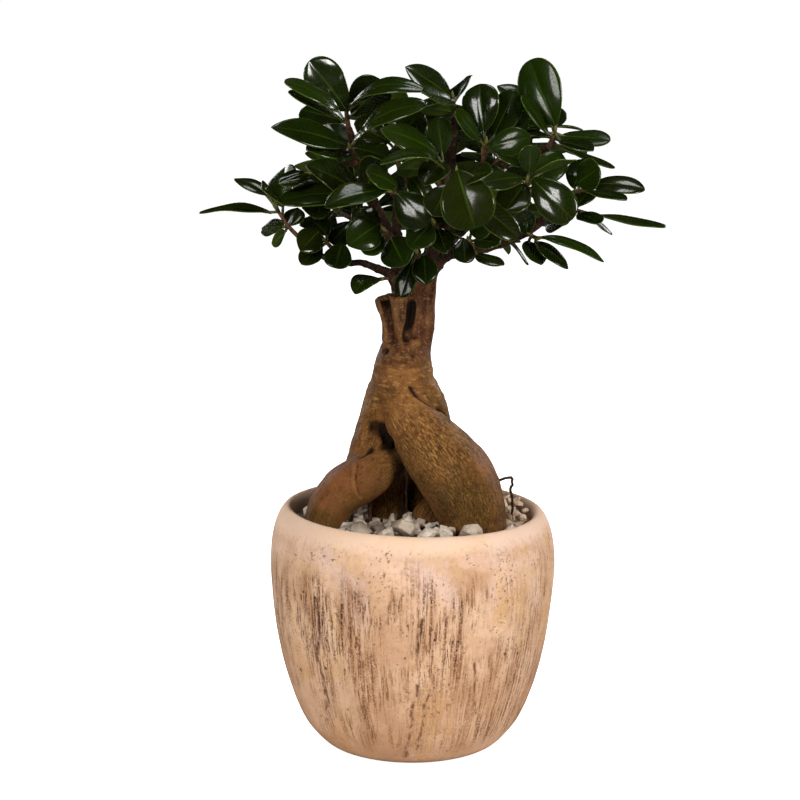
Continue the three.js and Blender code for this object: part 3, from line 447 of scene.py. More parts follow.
def grow_leaves():
    """All leaves by shoot: first those in the picture, then the spirals where there is still room."""
    twigs = {name: Route(shoot.twig) for name, shoot in SHOOTS.items()}
    thick = [*BRANCHES.values(), *STEMS.values()]
    stems = np.concatenate([Route(rows).spaced(BRANCH_PROBES) for rows in thick])
    twig_points = {name: twig.spaced(TWIG_PROBES) for name, twig in twigs.items()}
    grown = {name: [] for name in SHOOTS}

    def has_room(shoot, leaf):
        outer = leaf["probes"][INNER_PROBES:]
        own = [other["probes"][INNER_PROBES:] for other in grown[shoot]]
        twigs_near = [twig_points[name] for name in SHOOTS if name != shoot]
        leaves_near = [other["probes"] for name in SHOOTS if name != shoot for other in grown[name]]
        return (
            apart(outer, stems, STEM_ROOM)
            and (not own or apart(outer, np.concatenate(own), LEAF_ROOM))
            and apart(leaf["probes"], np.concatenate(twigs_near), STEM_ROOM)
            and (not leaves_near or apart(leaf["probes"], np.concatenate(leaves_near), LEAF_ROOM))
        )

    def settle(shoot, choices, needed):
        for leaf in choices:
            leaf["probes"] = probes_of(leaf)
            if has_room(shoot, leaf):
                grown[shoot].append(leaf)
                return
        if needed:
            grown[shoot].append(choices[0])

    for name, shoot in SHOOTS.items():
        for row in shoot.leaves:
            settle(name, [pictured_leaf(row, twigs[name], shift) for shift in DEPTH_SHIFTS], True)
    for place, (name, shoot) in enumerate(SHOOTS.items()):
        for k in range(shoot.spiral):
            choices = [
                spiral_leaf(twigs[name], k, shoot.spiral, SHOOT_TURN * place + turn, size)
                for size in SPIRAL_SIZES
                for turn in SPIRAL_TURNS
            ]
            allowed = [
                leaf
                for leaf in choices
                if in_crown(leaf["tip"]) and (not shoot.leaves or leaf["tip"][1] > leaf["base"][1])
            ]
            settle(name, allowed, False)
    return grown


# ---- making meshes ----
CAP_SIDE = np.array([0.31, 0.95, 0.05])


def link(name, data):
    item = bpy.data.objects.new(name, data)
    bpy.context.scene.collection.objects.link(item)
    return item


def finished(name, bm, materials, smooth=True):
    """Turns a bmesh into a piece of the object, with its faces pointing out."""
    bmesh.ops.recalc_face_normals(bm, faces=bm.faces[:])
    mesh = bpy.data.meshes.new(name)
    bm.to_mesh(mesh)
    bm.free()
    mesh.polygons.foreach_set("use_smooth", [smooth] * len(mesh.polygons))
    for material in materials:
        mesh.materials.append(material)
    return link(name, mesh)


def hand_over(piece, slot, *nodes):
    """The piece rides with the plant's one body and stands for its CAD nodes."""
    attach(piece, "root")
    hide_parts(*nodes)


def carried_sides(centres):
    """Two directions square to a line at each of its points, carried along without twisting."""
    ahead = np.gradient(centres, axis=0)
    ahead /= np.linalg.norm(ahead, axis=1)[:, None]
    side = square_to(ahead[0], CAP_SIDE)
    sides = []
    for direction in ahead:
        side = square_to(direction, side)
        sides.append(side)
    return np.array(sides), np.cross(ahead, sides)


def tube(bm, centres, radii, sides, material=0):
    """Closed tube round a line: a grid rolled up, joined along its seam and capped at open ends."""
    rings = len(centres) - 1
    grid = bmesh.ops.create_grid(bm, x_segments=sides, y_segments=rings, size=0.5)["verts"]
    flat = np.array([vert.co for vert in grid])
    angle = (flat[:, 0] + 0.5) * 2 * math.pi
    ring = np.rint((flat[:, 1] + 0.5) * rings).astype(int)
    side, other = carried_sides(centres)
    spoke = side[ring] * np.cos(angle)[:, None] + other[ring] * np.sin(angle)[:, None]
    places = centres[ring] + spoke * np.asarray(radii)[ring][:, None]
    for vert, place in zip(grid, places):
        vert.co = place * MM
    for face in {face for vert in grid for face in vert.link_faces}:
        face.material_index = material
    bmesh.ops.remove_doubles(bm, verts=grid, dist=WELD)
    kept = [vert for vert in grid if vert.is_valid]
    open_edges = {edge for vert in kept for edge in vert.link_edges if edge.is_boundary}
    for cap in bmesh.ops.holes_fill(bm, edges=list(open_edges), sides=0)["faces"]:
        cap.material_index = material


def eased(values, rounds):
    """Smooths a row of numbers and keeps its ends."""
    values = np.array(values, float)
    for _ in range(rounds):
        values[1:-1] = (values[:-2] + 2 * values[1:-1] + values[2:]) / 4
    return values


SEED_SHIFT = (17.3, 5.1, 9.7)


def rough(points, size, seed):
    """Soft noise from -1 to 1 at each point, with swells of about a size in mm."""
    shift = Vector([seed * step for step in SEED_SHIFT])
    return np.array([noise.noise(Vector(point) + shift) for point in points / size])


def relief(points, layer):
    height, width, seed = layer
    return height * rough(points, width, seed)


# ---- leaves ----
LEAF_COLUMNS = 20
LEAF_ROWS = (-1, -0.86, -0.62, -0.36, -0.14, 0, 0.14, 0.36, 0.62, 0.86, 1)
LEAF_OUTLINES = ((0.8, 0.47), (0.92, 0.68), (0.74, 0.8))
UPRIGHT = 0.6
FLATTENED = 1.5
MIDRIB_DIP = 0.35
MIDRIB_KEEL = 0.45
MIDRIB_WIDTH = 0.13
MIDRIB_STEP = 0.01
TWIST_ZERO = 0.3
WAVES = 1.6
WAVE_LAG = 0.8
RIM_THINNING = 0.5
# Spans that each leaf's fold, curl, wave, phase and twist in degrees are drawn from.
LEAF_CHARACTER = ((0.08, 0.24), (0.06, 0.26), (0.02, 0.06), (0, 1), (-16, 16))
STALK_END = 0.22
STALK_DROP = 0.7
STALK_START = 0.04
STALK_PLACES = (0, 0.12, 0.6, 1)
STALK_RADII = (1.15, 0.85, 0.8, 0.3)
STALK_SIDES = 8
TWIG_RINGS = 10
TWIG_SIDES = 10
BUD_LENGTHS = (4, 6.5)
BUD_RADII = (0.5, 0.95, 1.15, 1.1, 0.9, 0.65, 0.35, 0)


def leaf_blank(name, to_base, to_tip):
    """Flat closed leaf one unit long and one to each side, with its own map along and across."""
    bm = bmesh.new()
    rows = len(LEAF_ROWS) - 1
    grid = bmesh.ops.create_grid(bm, x_segments=LEAF_COLUMNS, y_segments=rows, size=0.5)["verts"]
    for vert in grid:
        step = vert.co.x + 0.5
        row = round((vert.co.y + 0.5) * rows)
        vert.co = (0.5 - 0.5 * math.cos(math.pi * step), LEAF_ROWS[row], 0)
    bmesh.ops.solidify(bm, geom=bm.faces[:], thickness=0.5)
    middle = sum(vert.co.z for vert in bm.verts) / len(bm.verts)
    blade_map = bm.loops.layers.uv.new("blade")
    for face in bm.faces:
        lower = sum(loop.vert.co.z - middle for loop in face.loops) < -1e-3
        face.material_index = 1 if lower else 0
        for loop in face.loops:
            loop[blade_map].uv = (loop.vert.co.x, loop.vert.co.y / 2 + 0.5)
    widest = to_base / (to_base + to_tip)
    peak = widest**to_base * (1 - widest) ** to_tip
    across = []
    for vert in bm.verts:
        along = min(max(vert.co.x, 0), 1)
        across.append(vert.co.y)
        vert.co.y *= along**to_base * (1 - along) ** to_tip / peak
        vert.co.z -= middle
    layer = bm.verts.layers.float.new("across")
    for vert, share in zip(bm.verts, across):
        vert[layer] = share
    bm.verts.layers.float.new("tint")
    bmesh.ops.remove_doubles(bm, verts=bm.verts[:], dist=1e-5)
    mesh = bpy.data.meshes.new(name)
    bm.to_mesh(mesh)
    bm.free()
    return mesh


def read(data, name, width, kind=np.float32):
    """Numbers of a mesh's vertices, edges or values as rows."""
    numbers = np.zeros(len(data) * width, kind)
    data.foreach_get(name, numbers)
    return numbers.reshape(-1, width)


def add_leaf(bm, blank, leaf, character, tint):
    """Bends a flat blank along a leaf's midrib: folded, curled down at its edges and gently waved."""
    fold, curl, wave, phase, twist = character
    bent = blank.copy()
    flat = read(bent.vertices, "co", 3).astype(float)
    along, offset, upper = flat[:, :1], flat[:, 1:2], np.sign(flat[:, 2:3])
    across = read(bent.attributes["across"].data, "value", 1).astype(float)
    half_width = leaf["width"] / 2
    before, after = np.maximum(along - MIDRIB_STEP, 0), np.minimum(along + MIDRIB_STEP, 1)
    ahead = midrib_point(leaf, after) - midrib_point(leaf, before)
    ahead /= np.linalg.norm(ahead, axis=1)[:, None]
    side = np.broadcast_to(side_of(leaf), ahead.shape)
    rise = np.cross(side, ahead)
    angle = np.radians(twist) * (along - TWIST_ZERO)
    side, rise = side * np.cos(angle) + rise * np.sin(angle), rise * np.cos(angle) - side * np.sin(angle)
    reach = np.abs(across)
    swing = 2 * math.pi * (WAVES * along + phase) + np.sign(across) * WAVE_LAG
    ripple = wave * reach**2 * np.sin(swing)
    rib = np.exp(-((across / MIDRIB_WIDTH) ** 2)) * (1 - along)
    height = half_width * np.abs(offset) * (fold - curl * reach**1.5) + half_width * ripple
    height = height + np.where(upper > 0, -MIDRIB_DIP, -MIDRIB_KEEL) * rib
    thickness = LEAF_THICKNESS * (1 - RIM_THINNING * reach**2)
    lift = height + upper * thickness / 2
    places = midrib_point(leaf, along) + side * offset * half_width + rise * lift
    bent.vertices.foreach_set("co", (places * MM).astype(np.float32).ravel())
    bent.attributes["tint"].data.foreach_set("value", np.full(len(flat), tint, np.float32))
    bm.from_mesh(bent)
    bpy.data.meshes.remove(bent)


def add_stalk(bm, leaf):
    """Leaf stalk that leaves the twig, bends to the blade and runs out under its midrib."""
    steps = np.linspace(0, 1, 9)[:, None]
    end = midrib_point(leaf, STALK_END) - leaf["normal"] * STALK_DROP
    root = leaf["foot"] * (1 - STALK_START) + leaf["base"] * STALK_START
    line = (1 - steps) ** 2 * root + 2 * (1 - steps) * steps * leaf["base"] + steps**2 * end
    tube(bm, line, np.interp(steps[:, 0], STALK_PLACES, STALK_RADII), STALK_SIDES, material=2)


def leafy_shoot(name, shoot, leaves, blanks, materials, rng):
    """One shoot: its twig with a pointed bud, and the leaves on it."""
    bm = bmesh.new()
    bm.loops.layers.uv.new("blade")
    bm.verts.layers.float.new("across")
    bm.verts.layers.float.new("tint")
    twig = Route(shoot.twig)
    centres = twig.spaced(TWIG_RINGS)
    tube(bm, centres, eased(twig.radii(TWIG_RINGS), 2), TWIG_SIDES, material=4)
    tip, ahead = centres[-1], twig.ahead(1)
    bud_steps = np.linspace(-0.3, 1, len(BUD_RADII))[:, None]
    bud = tip + ahead * bud_steps * rng.uniform(*BUD_LENGTHS) + UP * 0.8 * bud_steps**2
    tube(bm, bud, BUD_RADII, STALK_SIDES, material=3)
    for grown in leaves:
        leaf = dict(grown, arch=max(grown["arch"] - FLATTENED, 0.5))
        add_stalk(bm, leaf)
        character = [rng.uniform(*span) for span in LEAF_CHARACTER]
        outline = 0 if unit(leaf["tip"] - leaf["base"])[2] > UPRIGHT else rng.integers(len(blanks))
        add_leaf(bm, blanks[outline], leaf, character, rng.uniform(0, 1))
    piece = finished("shoot_leaves_" + name, bm, materials)
    hand_over(piece, "foliage", "shoot_" + name)


# ---- trunk and roots ----
BARK_VOXEL = 1.0
ROOT_STEPS = 48
SEAM_WIDTH = 3
ROOT_SHIFT = 61
ROD_SIDES = 36
SMOOTHING = 40
BROAD_SMOOTHING = 14
MARK_DEPTH = 0.32
NECK_HEIGHT = 204
NECK_REACH = 12
STEM_HEIGHT = 214
STEM_REACH = 14
# The bark's relief: height and width of its swells in mm, and a seed.
LUMPS = (1.0, 22, 1)
DENTS = (0.5, 8, 7)
FOLDS = (0.5, 9, 2)
RIDGES = (0.2, 2.2, 3)
FLAKES = (0.9, 4.2, 4)
WRINKLES = (0.8, 3, 5)
PIMPLES = (1.0, 3.2, 6)
PIMPLE_START = 0.4
PIMPLE_HEIGHT = 0.6
# Creases, cracks and scars of the bark on its pictured side: (pixels along it, half width, depth).
BARK_MARKS = (
    (((412, 303), (411, 313), (409, 323), (406.5, 333), (406, 343)), 1.5, 5.0),
    (((384, 299), (385.5, 310), (387, 320), (390, 332), (391.5, 341)), 2.2, 4.6),
    (((393, 318), (391.5, 328), (392, 342)), 0.9, 1.4),
    (((409, 387), (417, 395), (428, 403), (440, 411), (448, 416)), 1.3, 2.6),
    (((368, 428), (376, 426), (384, 431), (392, 441)), 2.4, 4.5),
    (((360, 457), (369, 452), (376, 447), (380, 442)), 1.3, 2.4),
    (((373, 450), (378, 445), (381, 439)), 1.8, -2.2),
    (((355, 463), (353, 477), (354, 488), (357, 496), (362, 499)), 0.9, -2.6),
    (((357.5, 464), (355.5, 477), (356.5, 488), (360, 496)), 0.7, 1.2),
    (((384.5, 351), (387.5, 352)), 2.0, 2.6), (((411, 356), (417, 357)), 1.6, 1.4),
    (((419, 380), (422, 380)), 1.2, 1.4), (((430, 421), (434, 423)), 1.2, 1.2),
    (((382, 347), (386, 345.5), (390, 347), (391.5, 352), (389, 356), (384, 356)), 1.2, -1.0),
    (((388, 357), (398, 358), (410, 357)), 0.9, -0.8),
    (((389, 363), (400, 364), (414, 363), (424, 362)), 1.0, 0.8),
    (((386, 370.5), (400, 372), (414, 371), (424, 369)), 1.1, -1.2),
    (((379, 303), (382, 312), (384, 326)), 1.4, -0.8), (((374, 365), (376, 367)), 2.0, -2.0),
    (((381, 336), (383, 338)), 2.0, -2.2),
)


def bark_lines():
    """Every root and stem as its line, its radius and two directions square to it."""
    lines = []
    for rows in [*ROOTS.values(), *STEMS.values()]:
        route = Route(rows)
        centres = route.spaced(ROOT_STEPS)
        side, other = carried_sides(centres)
        lines.append((centres, eased(route.radii(ROOT_STEPS), 6), side, other, route.reached[-1]))
    return lines


def bark_places(points, lines):
    """Each point's place as if its root were straight, its gap to it, and how clear of others it is."""
    best = np.full(len(points), np.inf)
    second = np.full(len(points), np.inf)
    places = np.zeros((len(points), 3))
    for index, (centres, radii, side, other, length) in enumerate(lines):
        steps = points[:, None, :] - centres[None, :, :]
        over = np.linalg.norm(steps, axis=2) - radii[None, :]
        near = over.argmin(axis=1)
        gap = over[np.arange(len(points)), near]
        spoke = points - centres[near]
        right = np.einsum("ij,ij->i", spoke, side[near])
        up = np.einsum("ij,ij->i", spoke, other[near])
        ahead = np.cross(side[near], other[near])
        along = near / ROOT_STEPS * length + np.einsum("ij,ij->i", spoke, ahead)
        found = np.stack([right, up, along + ROOT_SHIFT * index], axis=1)
        closer = gap < best
        second = np.where(closer, best, np.minimum(second, gap))
        best = np.where(closer, gap, best)
        places[closer] = found[closer]
    return places, best, np.clip((second - best) / SEAM_WIDTH, 0, 1)


def neighbours_mean(values, edges, counts):
    total = np.zeros_like(values)
    np.add.at(total, edges[:, 0], values[edges[:, 1]])
    np.add.at(total, edges[:, 1], values[edges[:, 0]])
    return total / counts[:, None]


def relaxed(points, edges, rounds, shares=(0.5, -0.52)):
    """Evens out a surface without shrinking it."""
    counts = np.maximum(np.bincount(edges.ravel(), minlength=len(points)), 1)
    for _ in range(rounds):
        for share in shares:
            points = points + share * (neighbours_mean(points, edges, counts) - points)
    return points


def surface_normals(mesh, points):
    mesh.vertices.foreach_set("co", (points * MM).astype(np.float32).ravel())
    mesh.update()
    return read(mesh.vertex_normals, "vector", 3).astype(float)


def marks_on_bark(mesh):
    """The bark marks' points on the surface that the picture shows, with their widths and depths."""
    tree = BVHTree.FromPolygons([v.co for v in mesh.vertices], [p.vertices for p in mesh.polygons])
    found = []
    for pixels, width, depth in BARK_MARKS:
        ends = np.array(pixels, float)
        reached = np.concatenate([[0], np.cumsum(np.linalg.norm(np.diff(ends, axis=0), axis=1))])
        steps = np.arange(0, reached[-1] + 0.01, 1.0)
        for step in steps:
            px = np.interp(step, reached, ends[:, 0])
            py = np.interp(step, reached, ends[:, 1])
            ray = seen(px, py, 0) - EYE
            hit = tree.ray_cast(Vector(EYE * MM), Vector(ray).normalized())[0]
            if hit is not None:
                edge = min(step, reached[-1] - step)
                found.append((np.array(hit) / MM, width, depth * min(1, 0.4 + edge / 4)))
    return found


COVER_RAYS = 14
COVER_REACH = 16


def cover(mesh, points, normals):
    """Share of the near space before each point that other bark closes off, from 0 to 1."""
    tree = BVHTree.FromPolygons([v.co for v in mesh.vertices], [p.vertices for p in mesh.polygons])
    steps = np.arange(COVER_RAYS) + 0.5
    heights = steps / COVER_RAYS
    spins = steps * math.radians(GOLDEN_ANGLE)
    spread = np.sqrt(1 - heights**2)
    rays = np.stack([spread * np.cos(spins), spread * np.sin(spins), heights], axis=1)
    closed = np.zeros(len(points))
    for index, (point, normal) in enumerate(zip(points, normals)):
        turn = Vector(normal).to_track_quat("Z", "Y")
        start = Vector(point + normal * 0.4) * MM
        hits = [tree.ray_cast(start, turn @ Vector(ray), COVER_REACH * MM)[0] for ray in rays]
        closed[index] = sum(hit is not None for hit in hits) / COVER_RAYS
    return closed


def trunk_with_roots(material):
    """Roots and stems fused into one body, with the bark's folds, grain, cracks and scars."""
    lines = bark_lines()
    bm = bmesh.new()
    for centres, radii, *_ in lines:
        tube(bm, centres, radii, ROD_SIDES)
    rods = finished("rods", bm, [])
    fuse = rods.modifiers.new("fuse", "REMESH")
    fuse.mode = "VOXEL"
    fuse.voxel_size = BARK_VOXEL * MM
    graph = bpy.context.evaluated_depsgraph_get()
    mesh = bpy.data.meshes.new_from_object(rods.evaluated_get(graph))
    bpy.data.objects.remove(rods)
    mesh.name = "trunk_with_roots"
    edges = read(mesh.edges, "vertices", 2, np.int32)
    points = read(mesh.vertices, "co", 3).astype(float) / MM
    points = relaxed(points, edges, SMOOTHING)
    normals = surface_normals(mesh, points)
    places, _, clear = bark_places(points, lines)
    stem = np.clip((points[:, 2] - STEM_HEIGHT) / STEM_REACH, 0, 1)
    neck = np.exp(-(((points[:, 2] - NECK_HEIGHT) / NECK_REACH) ** 2))
    grain = places * (1, 1, 0.16)
    swell = relief(points, LUMPS) + relief(points, DENTS) + clear * relief(grain, FOLDS)
    ridge = clear * relief(grain, RIDGES) * (1 + 2 * stem)
    flakes = stem * clear * relief(places * (1, 1, 0.35), FLAKES)
    wrinkles = neck * relief(points * (0.3, 0.3, 1), WRINKLES)
    pimples = PIMPLE_HEIGHT * np.clip(relief(points, PIMPLES) - PIMPLE_START, 0, 1)
    points = points + normals * (swell + ridge + flakes + wrinkles + pimples)[:, None]
    surface_normals(mesh, points)
    for hit, width, depth in marks_on_bark(mesh):
        gap = np.linalg.norm(points - hit, axis=1) / width
        near = gap < 3
        points[near] -= normals[near] * (MARK_DEPTH * depth * np.exp(-gap[near] ** 2))[:, None]
    normals = surface_normals(mesh, points)
    broad = relaxed(points, edges, BROAD_SMOOTHING, (0.5,))
    # How far each point lies in a hollow and how much other bark closes it in; the bark's finish paints
    # shade from both.
    hollow = np.einsum("ij,ij->i", broad - points, normals)
    covered = cover(mesh, points, normals)
    mesh.attributes.new("bark_place", "FLOAT_VECTOR", "POINT").data.foreach_set(
        "vector", (places * MM).astype(np.float32).ravel()
    )
    for name, values in (("hollow", hollow), ("covered", covered), ("clear", clear)):
        mesh.attributes.new(name, "FLOAT", "POINT").data.foreach_set("value", values.astype(np.float32))
    mesh.polygons.foreach_set("use_smooth", [True] * len(mesh.polygons))
    mesh.materials.clear()
    mesh.materials.append(material)
    piece = link("trunk_with_roots", mesh)
    hand_over(piece, "bark", "trunk")


BRANCH_SIDES = 14
BRANCH_RINGS = 24
BRANCH_SPACING = 1.6
BRANCH_WIDTH = 1.02
BRANCH_CROOK = (0.5, 9, 20)
SCAR_SPACING = 1.25
SCAR_HEIGHT = 0.16
THIN_ROOT_SIDES = 8
THIN_ROOT_SPACING = 1.4
THIN_ROOT_CROOK = (0.7, 4, 21)
THIN_ROOT_KNOTS = (0.25, 3, 8)


def crooked(centres, crook, number):
    """A line's points moved by soft noise: how far in mm, width of the swells, first seed."""
    reach, width, seed = crook
    seeds = [number + seed + k for k in (0, 20, 40)]
    return centres + reach * np.stack([rough(centres, width, each) for each in seeds], axis=1)


def branches_and_thin_roots(material):
    """The branches with their leaf scars, and the thin roots that hang free."""
    bm = bmesh.new()
    for number, rows in enumerate(BRANCHES.values()):
        route = Route(rows)
        count = max(BRANCH_RINGS, round(route.reached[-1] / BRANCH_SPACING))
        radii = eased(route.radii(count), 8)
        rings = np.sin(np.linspace(0, route.reached[-1] / SCAR_SPACING, count + 1) + number)
        scars = SCAR_HEIGHT * np.clip(rings, 0, 1) ** 3
        centres = crooked(route.spaced(count), BRANCH_CROOK, number)
        tube(bm, centres, radii * (BRANCH_WIDTH + scars), BRANCH_SIDES)
    for number, rows in enumerate(THIN_ROOTS.values()):
        route = Route(rows)
        count = round(route.reached[-1] / THIN_ROOT_SPACING)
        centres = crooked(route.spaced(count), THIN_ROOT_CROOK, number)
        radii = eased(route.radii(count), 3) * (1 + relief(centres, THIN_ROOT_KNOTS))
        tube(bm, centres, radii, THIN_ROOT_SIDES)
    piece = finished("branches_and_thin_roots", bm, [material])
    hand_over(piece, "bark", "trunk")


# ---- pot ----
POT_PROFILE = (
    (0, 0), (20, 0), (36, 0), (41, 0.3), (43.5, 0.9), (48.4, 3), (53.5, 8), (59.3, 15), (64, 25),
    (69.3, 40), (74.2, 60), (77, 80), (78.7, 100), (78.1, 114), (76, 123.6), (73.6, 129.2),
    (71.4, 132.4), (69.4, 133.9), (67.6, 133.7), (66.2, 132.2), (65.6, 129.8), (66, 125), (67.8, 117),
    (69.2, 108), (69.6, 96), (68.6, 80), (66, 60), (61.5, 40), (56.5, 24), (50, 13), (40, 9), (20, 9),
    (0, 9),
)
PROFILE_STEPS = 5
# The wall's unevenness: how far it goes and how wide its swells are, in mm.
SWELL, SWELL_WIDTH = 0.45, 34
RIPPLE, RIPPLE_WIDTH = 0.12, 7
EVEN_FOOT = 12
EVEN_MIDDLE = 20


def lean_at(z):
    share = min(max((z - RIM_TILT_START) / (POT_HEIGHT - RIM_TILT_START), 0), 1)
    return share * share * (3 - 2 * share)


def bed_height(x):
    return GRAVEL_TOP - RIM_TILT * x * lean_at(GRAVEL_TOP)


def clay_pot(material):
    """The pot's rounded profile spun once round, then leaned and left slightly uneven by the hand."""
    bm = bmesh.new()
    knots = np.array(POT_PROFILE, float)
    times = np.arange(len(knots))
    fine = np.linspace(0, len(knots) - 1, (len(knots) - 1) * PROFILE_STEPS + 1)
    profile = np.stack([eased(np.interp(fine, times, knots[:, k]), 5) for k in (0, 1)], axis=1)
    line = [bm.verts.new((radius * MM, 0, height * MM)) for radius, height in profile]
    line += [bm.edges.new(pair) for pair in zip(line, line[1:])]
    bmesh.ops.spin(
        bm, geom=line, cent=(0, 0, 0), axis=(0, 0, 1), angle=2 * math.pi, steps=POT_SIDES, use_merge=True
    )
    bmesh.ops.remove_doubles(bm, verts=bm.verts[:], dist=WELD)
    for vert in bm.verts:
        x, y, z = np.array(vert.co) / MM
        lean = lean_at(z)
        uneven = SWELL * noise.noise(Vector((x, y, z * 0.6)) / SWELL_WIDTH)
        uneven += RIPPLE * noise.noise(Vector((x, y, z)) / RIPPLE_WIDTH)
        swell = uneven * min(1, z / EVEN_FOOT) / max(math.hypot(x, y), EVEN_MIDDLE)
        right, back = x * (1 + swell), y * (1 + swell)
        vert.co = Vector((right + RIM_SHIFT * lean, back, z - RIM_TILT * x * lean)) * MM
    piece = finished("clay_pot", bm, [material])
    hand_over(piece, "clay", "pot")


# ---- gravel ----
# Larger stones between the roots: (x, y, size).
LARGE_STONES = (
    (-27.5, -48.5, 1.15), (-14, -54, 1.05), (-4, -44, 1.4), (7, -55.5, 1), (18, -51, 1.05),
    (31, -47.5, 1.25), (-18, -38.5, 0.85), (55, 1, 1), (47, 13, 0.9), (49, 26, 1.1), (-56, -2, 0.9),
    (4, 54, 1), (-11, 50, 0.9),
)
STONE_SIZE = 5.6
STONE_SQUASH = np.array([1.2, 0.95, 0.72])
STONE_CORNERS = 15
LARGE_STONE_CORNERS = 18
LARGE_STONE_LIFT = 0.85
SMALLEST_STONE = 2.4
LARGEST_STONE = 5
STONE_LIFTS = (0.3, 0.75)
STONE_SPACING = 0.84
BARK_SPACING = 0.35
GRAVEL_RING = 63.5
GRAVEL_TRIES = 9000
# A second layer of smaller stones lies heaped round one place, flatter towards its edge.
HEAP = (50, 16)
HEAP_REACH = 27
HEAP_RISE = 6.4
HEAP_SLOPE = 0.45
HEAP_SHRINK = 0.6
HEAP_RING = 2


def add_stone(bm, rng, place, size, corners):
    """Broken stone: the hull round a handful of corners, squashed and turned its own way."""
    squash = STONE_SQUASH * rng.uniform(0.85, 1.15, 3)
    corners = rng.normal(size=(corners, 3))
    corners /= np.linalg.norm(corners, axis=1)[:, None]
    corners *= squash * rng.uniform(0.82, 1.05, (len(corners), 1))
    turn = Euler((rng.normal() * 0.4, rng.normal() * 0.4, rng.uniform(0, 2 * math.pi))).to_matrix()
    verts = [bm.verts.new((Vector(place) + turn @ Vector(corner * size)) * MM) for corner in corners]
    hull = bmesh.ops.convex_hull(bm, input=verts)
    spare = [item for item in hull["geom_interior"] if isinstance(item, bmesh.types.BMVert)]
    bmesh.ops.delete(bm, geom=spare, context="VERTS")
    return [vert for vert in verts if vert.is_valid]


def gravel(material, lines):
    """The larger stones, then hundreds of small ones between them, then the heap."""
    rng = np.random.default_rng(11)
    bm = bmesh.new()
    tint_layer = bm.verts.layers.float.new("tint")
    laid = []
    for x, y, size in LARGE_STONES:
        radius = STONE_SIZE * size
        height = bed_height(x) + LARGE_STONE_LIFT * radius
        laid.append((x, y, radius))
        verts = add_stone(bm, rng, (x, y, height), radius, LARGE_STONE_CORNERS)
        tint = rng.uniform(0, 1)
        for vert in verts:
            vert[tint_layer] = tint
    for layer in (0, 1):
        laid = laid if layer == 0 else []
        for _ in range(GRAVEL_TRIES):
            radius = rng.uniform(SMALLEST_STONE, LARGEST_STONE - HEAP_SHRINK * layer)
            reach = math.sqrt(rng.uniform(0, 1)) * (GRAVEL_RING + HEAP_RING * layer - radius)
            angle = rng.uniform(0, 2 * math.pi)
            x, y = reach * math.cos(angle), reach * math.sin(angle)
            if any((x - a) ** 2 + (y - b) ** 2 < (STONE_SPACING * (radius + r)) ** 2 for a, b, r in laid):
                continue
            outward = math.hypot(x - HEAP[0], y - HEAP[1]) / HEAP_REACH
            if layer == 1 and outward > 1:
                continue
            rise = layer * HEAP_RISE * (1 - HEAP_SLOPE * min(outward, 1) ** 2)
            height = bed_height(x) + rng.uniform(*STONE_LIFTS) * radius + rise
            if bark_places(np.array([[x, y, height]]), lines)[1][0] < BARK_SPACING * radius:
                continue
            laid.append((x, y, radius))
            tint = rng.uniform(0, 1)
            for vert in add_stone(bm, rng, (x, y, height), radius, STONE_CORNERS):
                vert[tint_layer] = tint
    piece = finished("gravel_stones", bm, [material], smooth=False)
    hand_over(piece, "stone", *[f"stone_{i + 1}" for i in range(len(LARGE_STONES))])


# ---- finishes ----
class Wire:
    """Output of a shader node; sums with wires and numbers add maths nodes."""

    def __init__(self, node, output=0):
        self.node = node
        self.tree = node.id_data
        self.socket = node.outputs[output]

    def __add__(self, other):
        return maths("ADD", self, other)

    def __sub__(self, other):
        return maths("SUBTRACT", self, other)

    def __rsub__(self, other):
        return maths("SUBTRACT", other, self)

    def __mul__(self, other):
        return maths("MULTIPLY", self, other)

    def __or__(self, other):
        return maths("MAXIMUM", self, other)


def add(tree, kind, inputs=None, output=0, **settings):
    """Adds a shader node, joins or sets its inputs and gives one of its outputs."""
    node = tree.nodes.new(kind)
    for name, value in settings.items():
        setattr(node, name, value)
    for name, value in (inputs or {}).items():
        if isinstance(value, Wire):
            tree.links.new(value.socket, node.inputs[name])
        else:
            node.inputs[name].default_value = value
    return Wire(node, output)


def tree_of(values):
    return next(value for value in values if isinstance(value, Wire)).tree


def maths(operation, *values):
    return add(tree_of(values), "ShaderNodeMath", dict(enumerate(values)), operation=operation)


def vector(operation, *values, output=0):
    inputs = dict(enumerate(values))
    return add(tree_of(values), "ShaderNodeVectorMath", inputs, output, operation=operation)


def blend(share, first, second):
    """Colour between two colours, by a mask."""
    return add(share.tree, "ShaderNodeMix", {0: share, 6: first, 7: second}, 2, data_type="RGBA")


def rgb(*numbers):
    """Linear colour of a colour given as the picture's own 0-255 numbers."""
    shares = [number / 255 for number in numbers]
    return (*(((share + 0.055) / 1.055) ** 2.4 if share > 0.04 else share / 12.92 for share in shares), 1)


def stretched(place, across, up, turn=(0, 0, 0)):
    """A pattern's own place: scaled across and up, and turned."""
    inputs = {"Vector": place, "Scale": (across, across, up), "Rotation": turn}
    return add(place.tree, "ShaderNodeMapping", inputs)


def waved(place, source, scale, detail, reach):
    """A place moved by the noise at a source, at most by a reach in metres."""
    inputs = {"Vector": source, "Scale": scale, "Detail": detail}
    return vector("MULTIPLY_ADD", add(place.tree, "ShaderNodeTexNoise", inputs, "Color"), reach, place)


def ramp(value, low, high, kind="LINEAR"):
    """Mask that rises from 0 to 1 while a value goes from low to high."""
    inputs = {"Value": value, "From Min": low, "From Max": high}
    return add(value.tree, "ShaderNodeMapRange", inputs, interpolation_type=kind)


def band(place, low, high):
    """Mask that rises from 0 to 1 between two heights, in metres."""
    return ramp(add(place.tree, "ShaderNodeSeparateXYZ", {0: place}, 2), low, high, "SMOOTHSTEP")


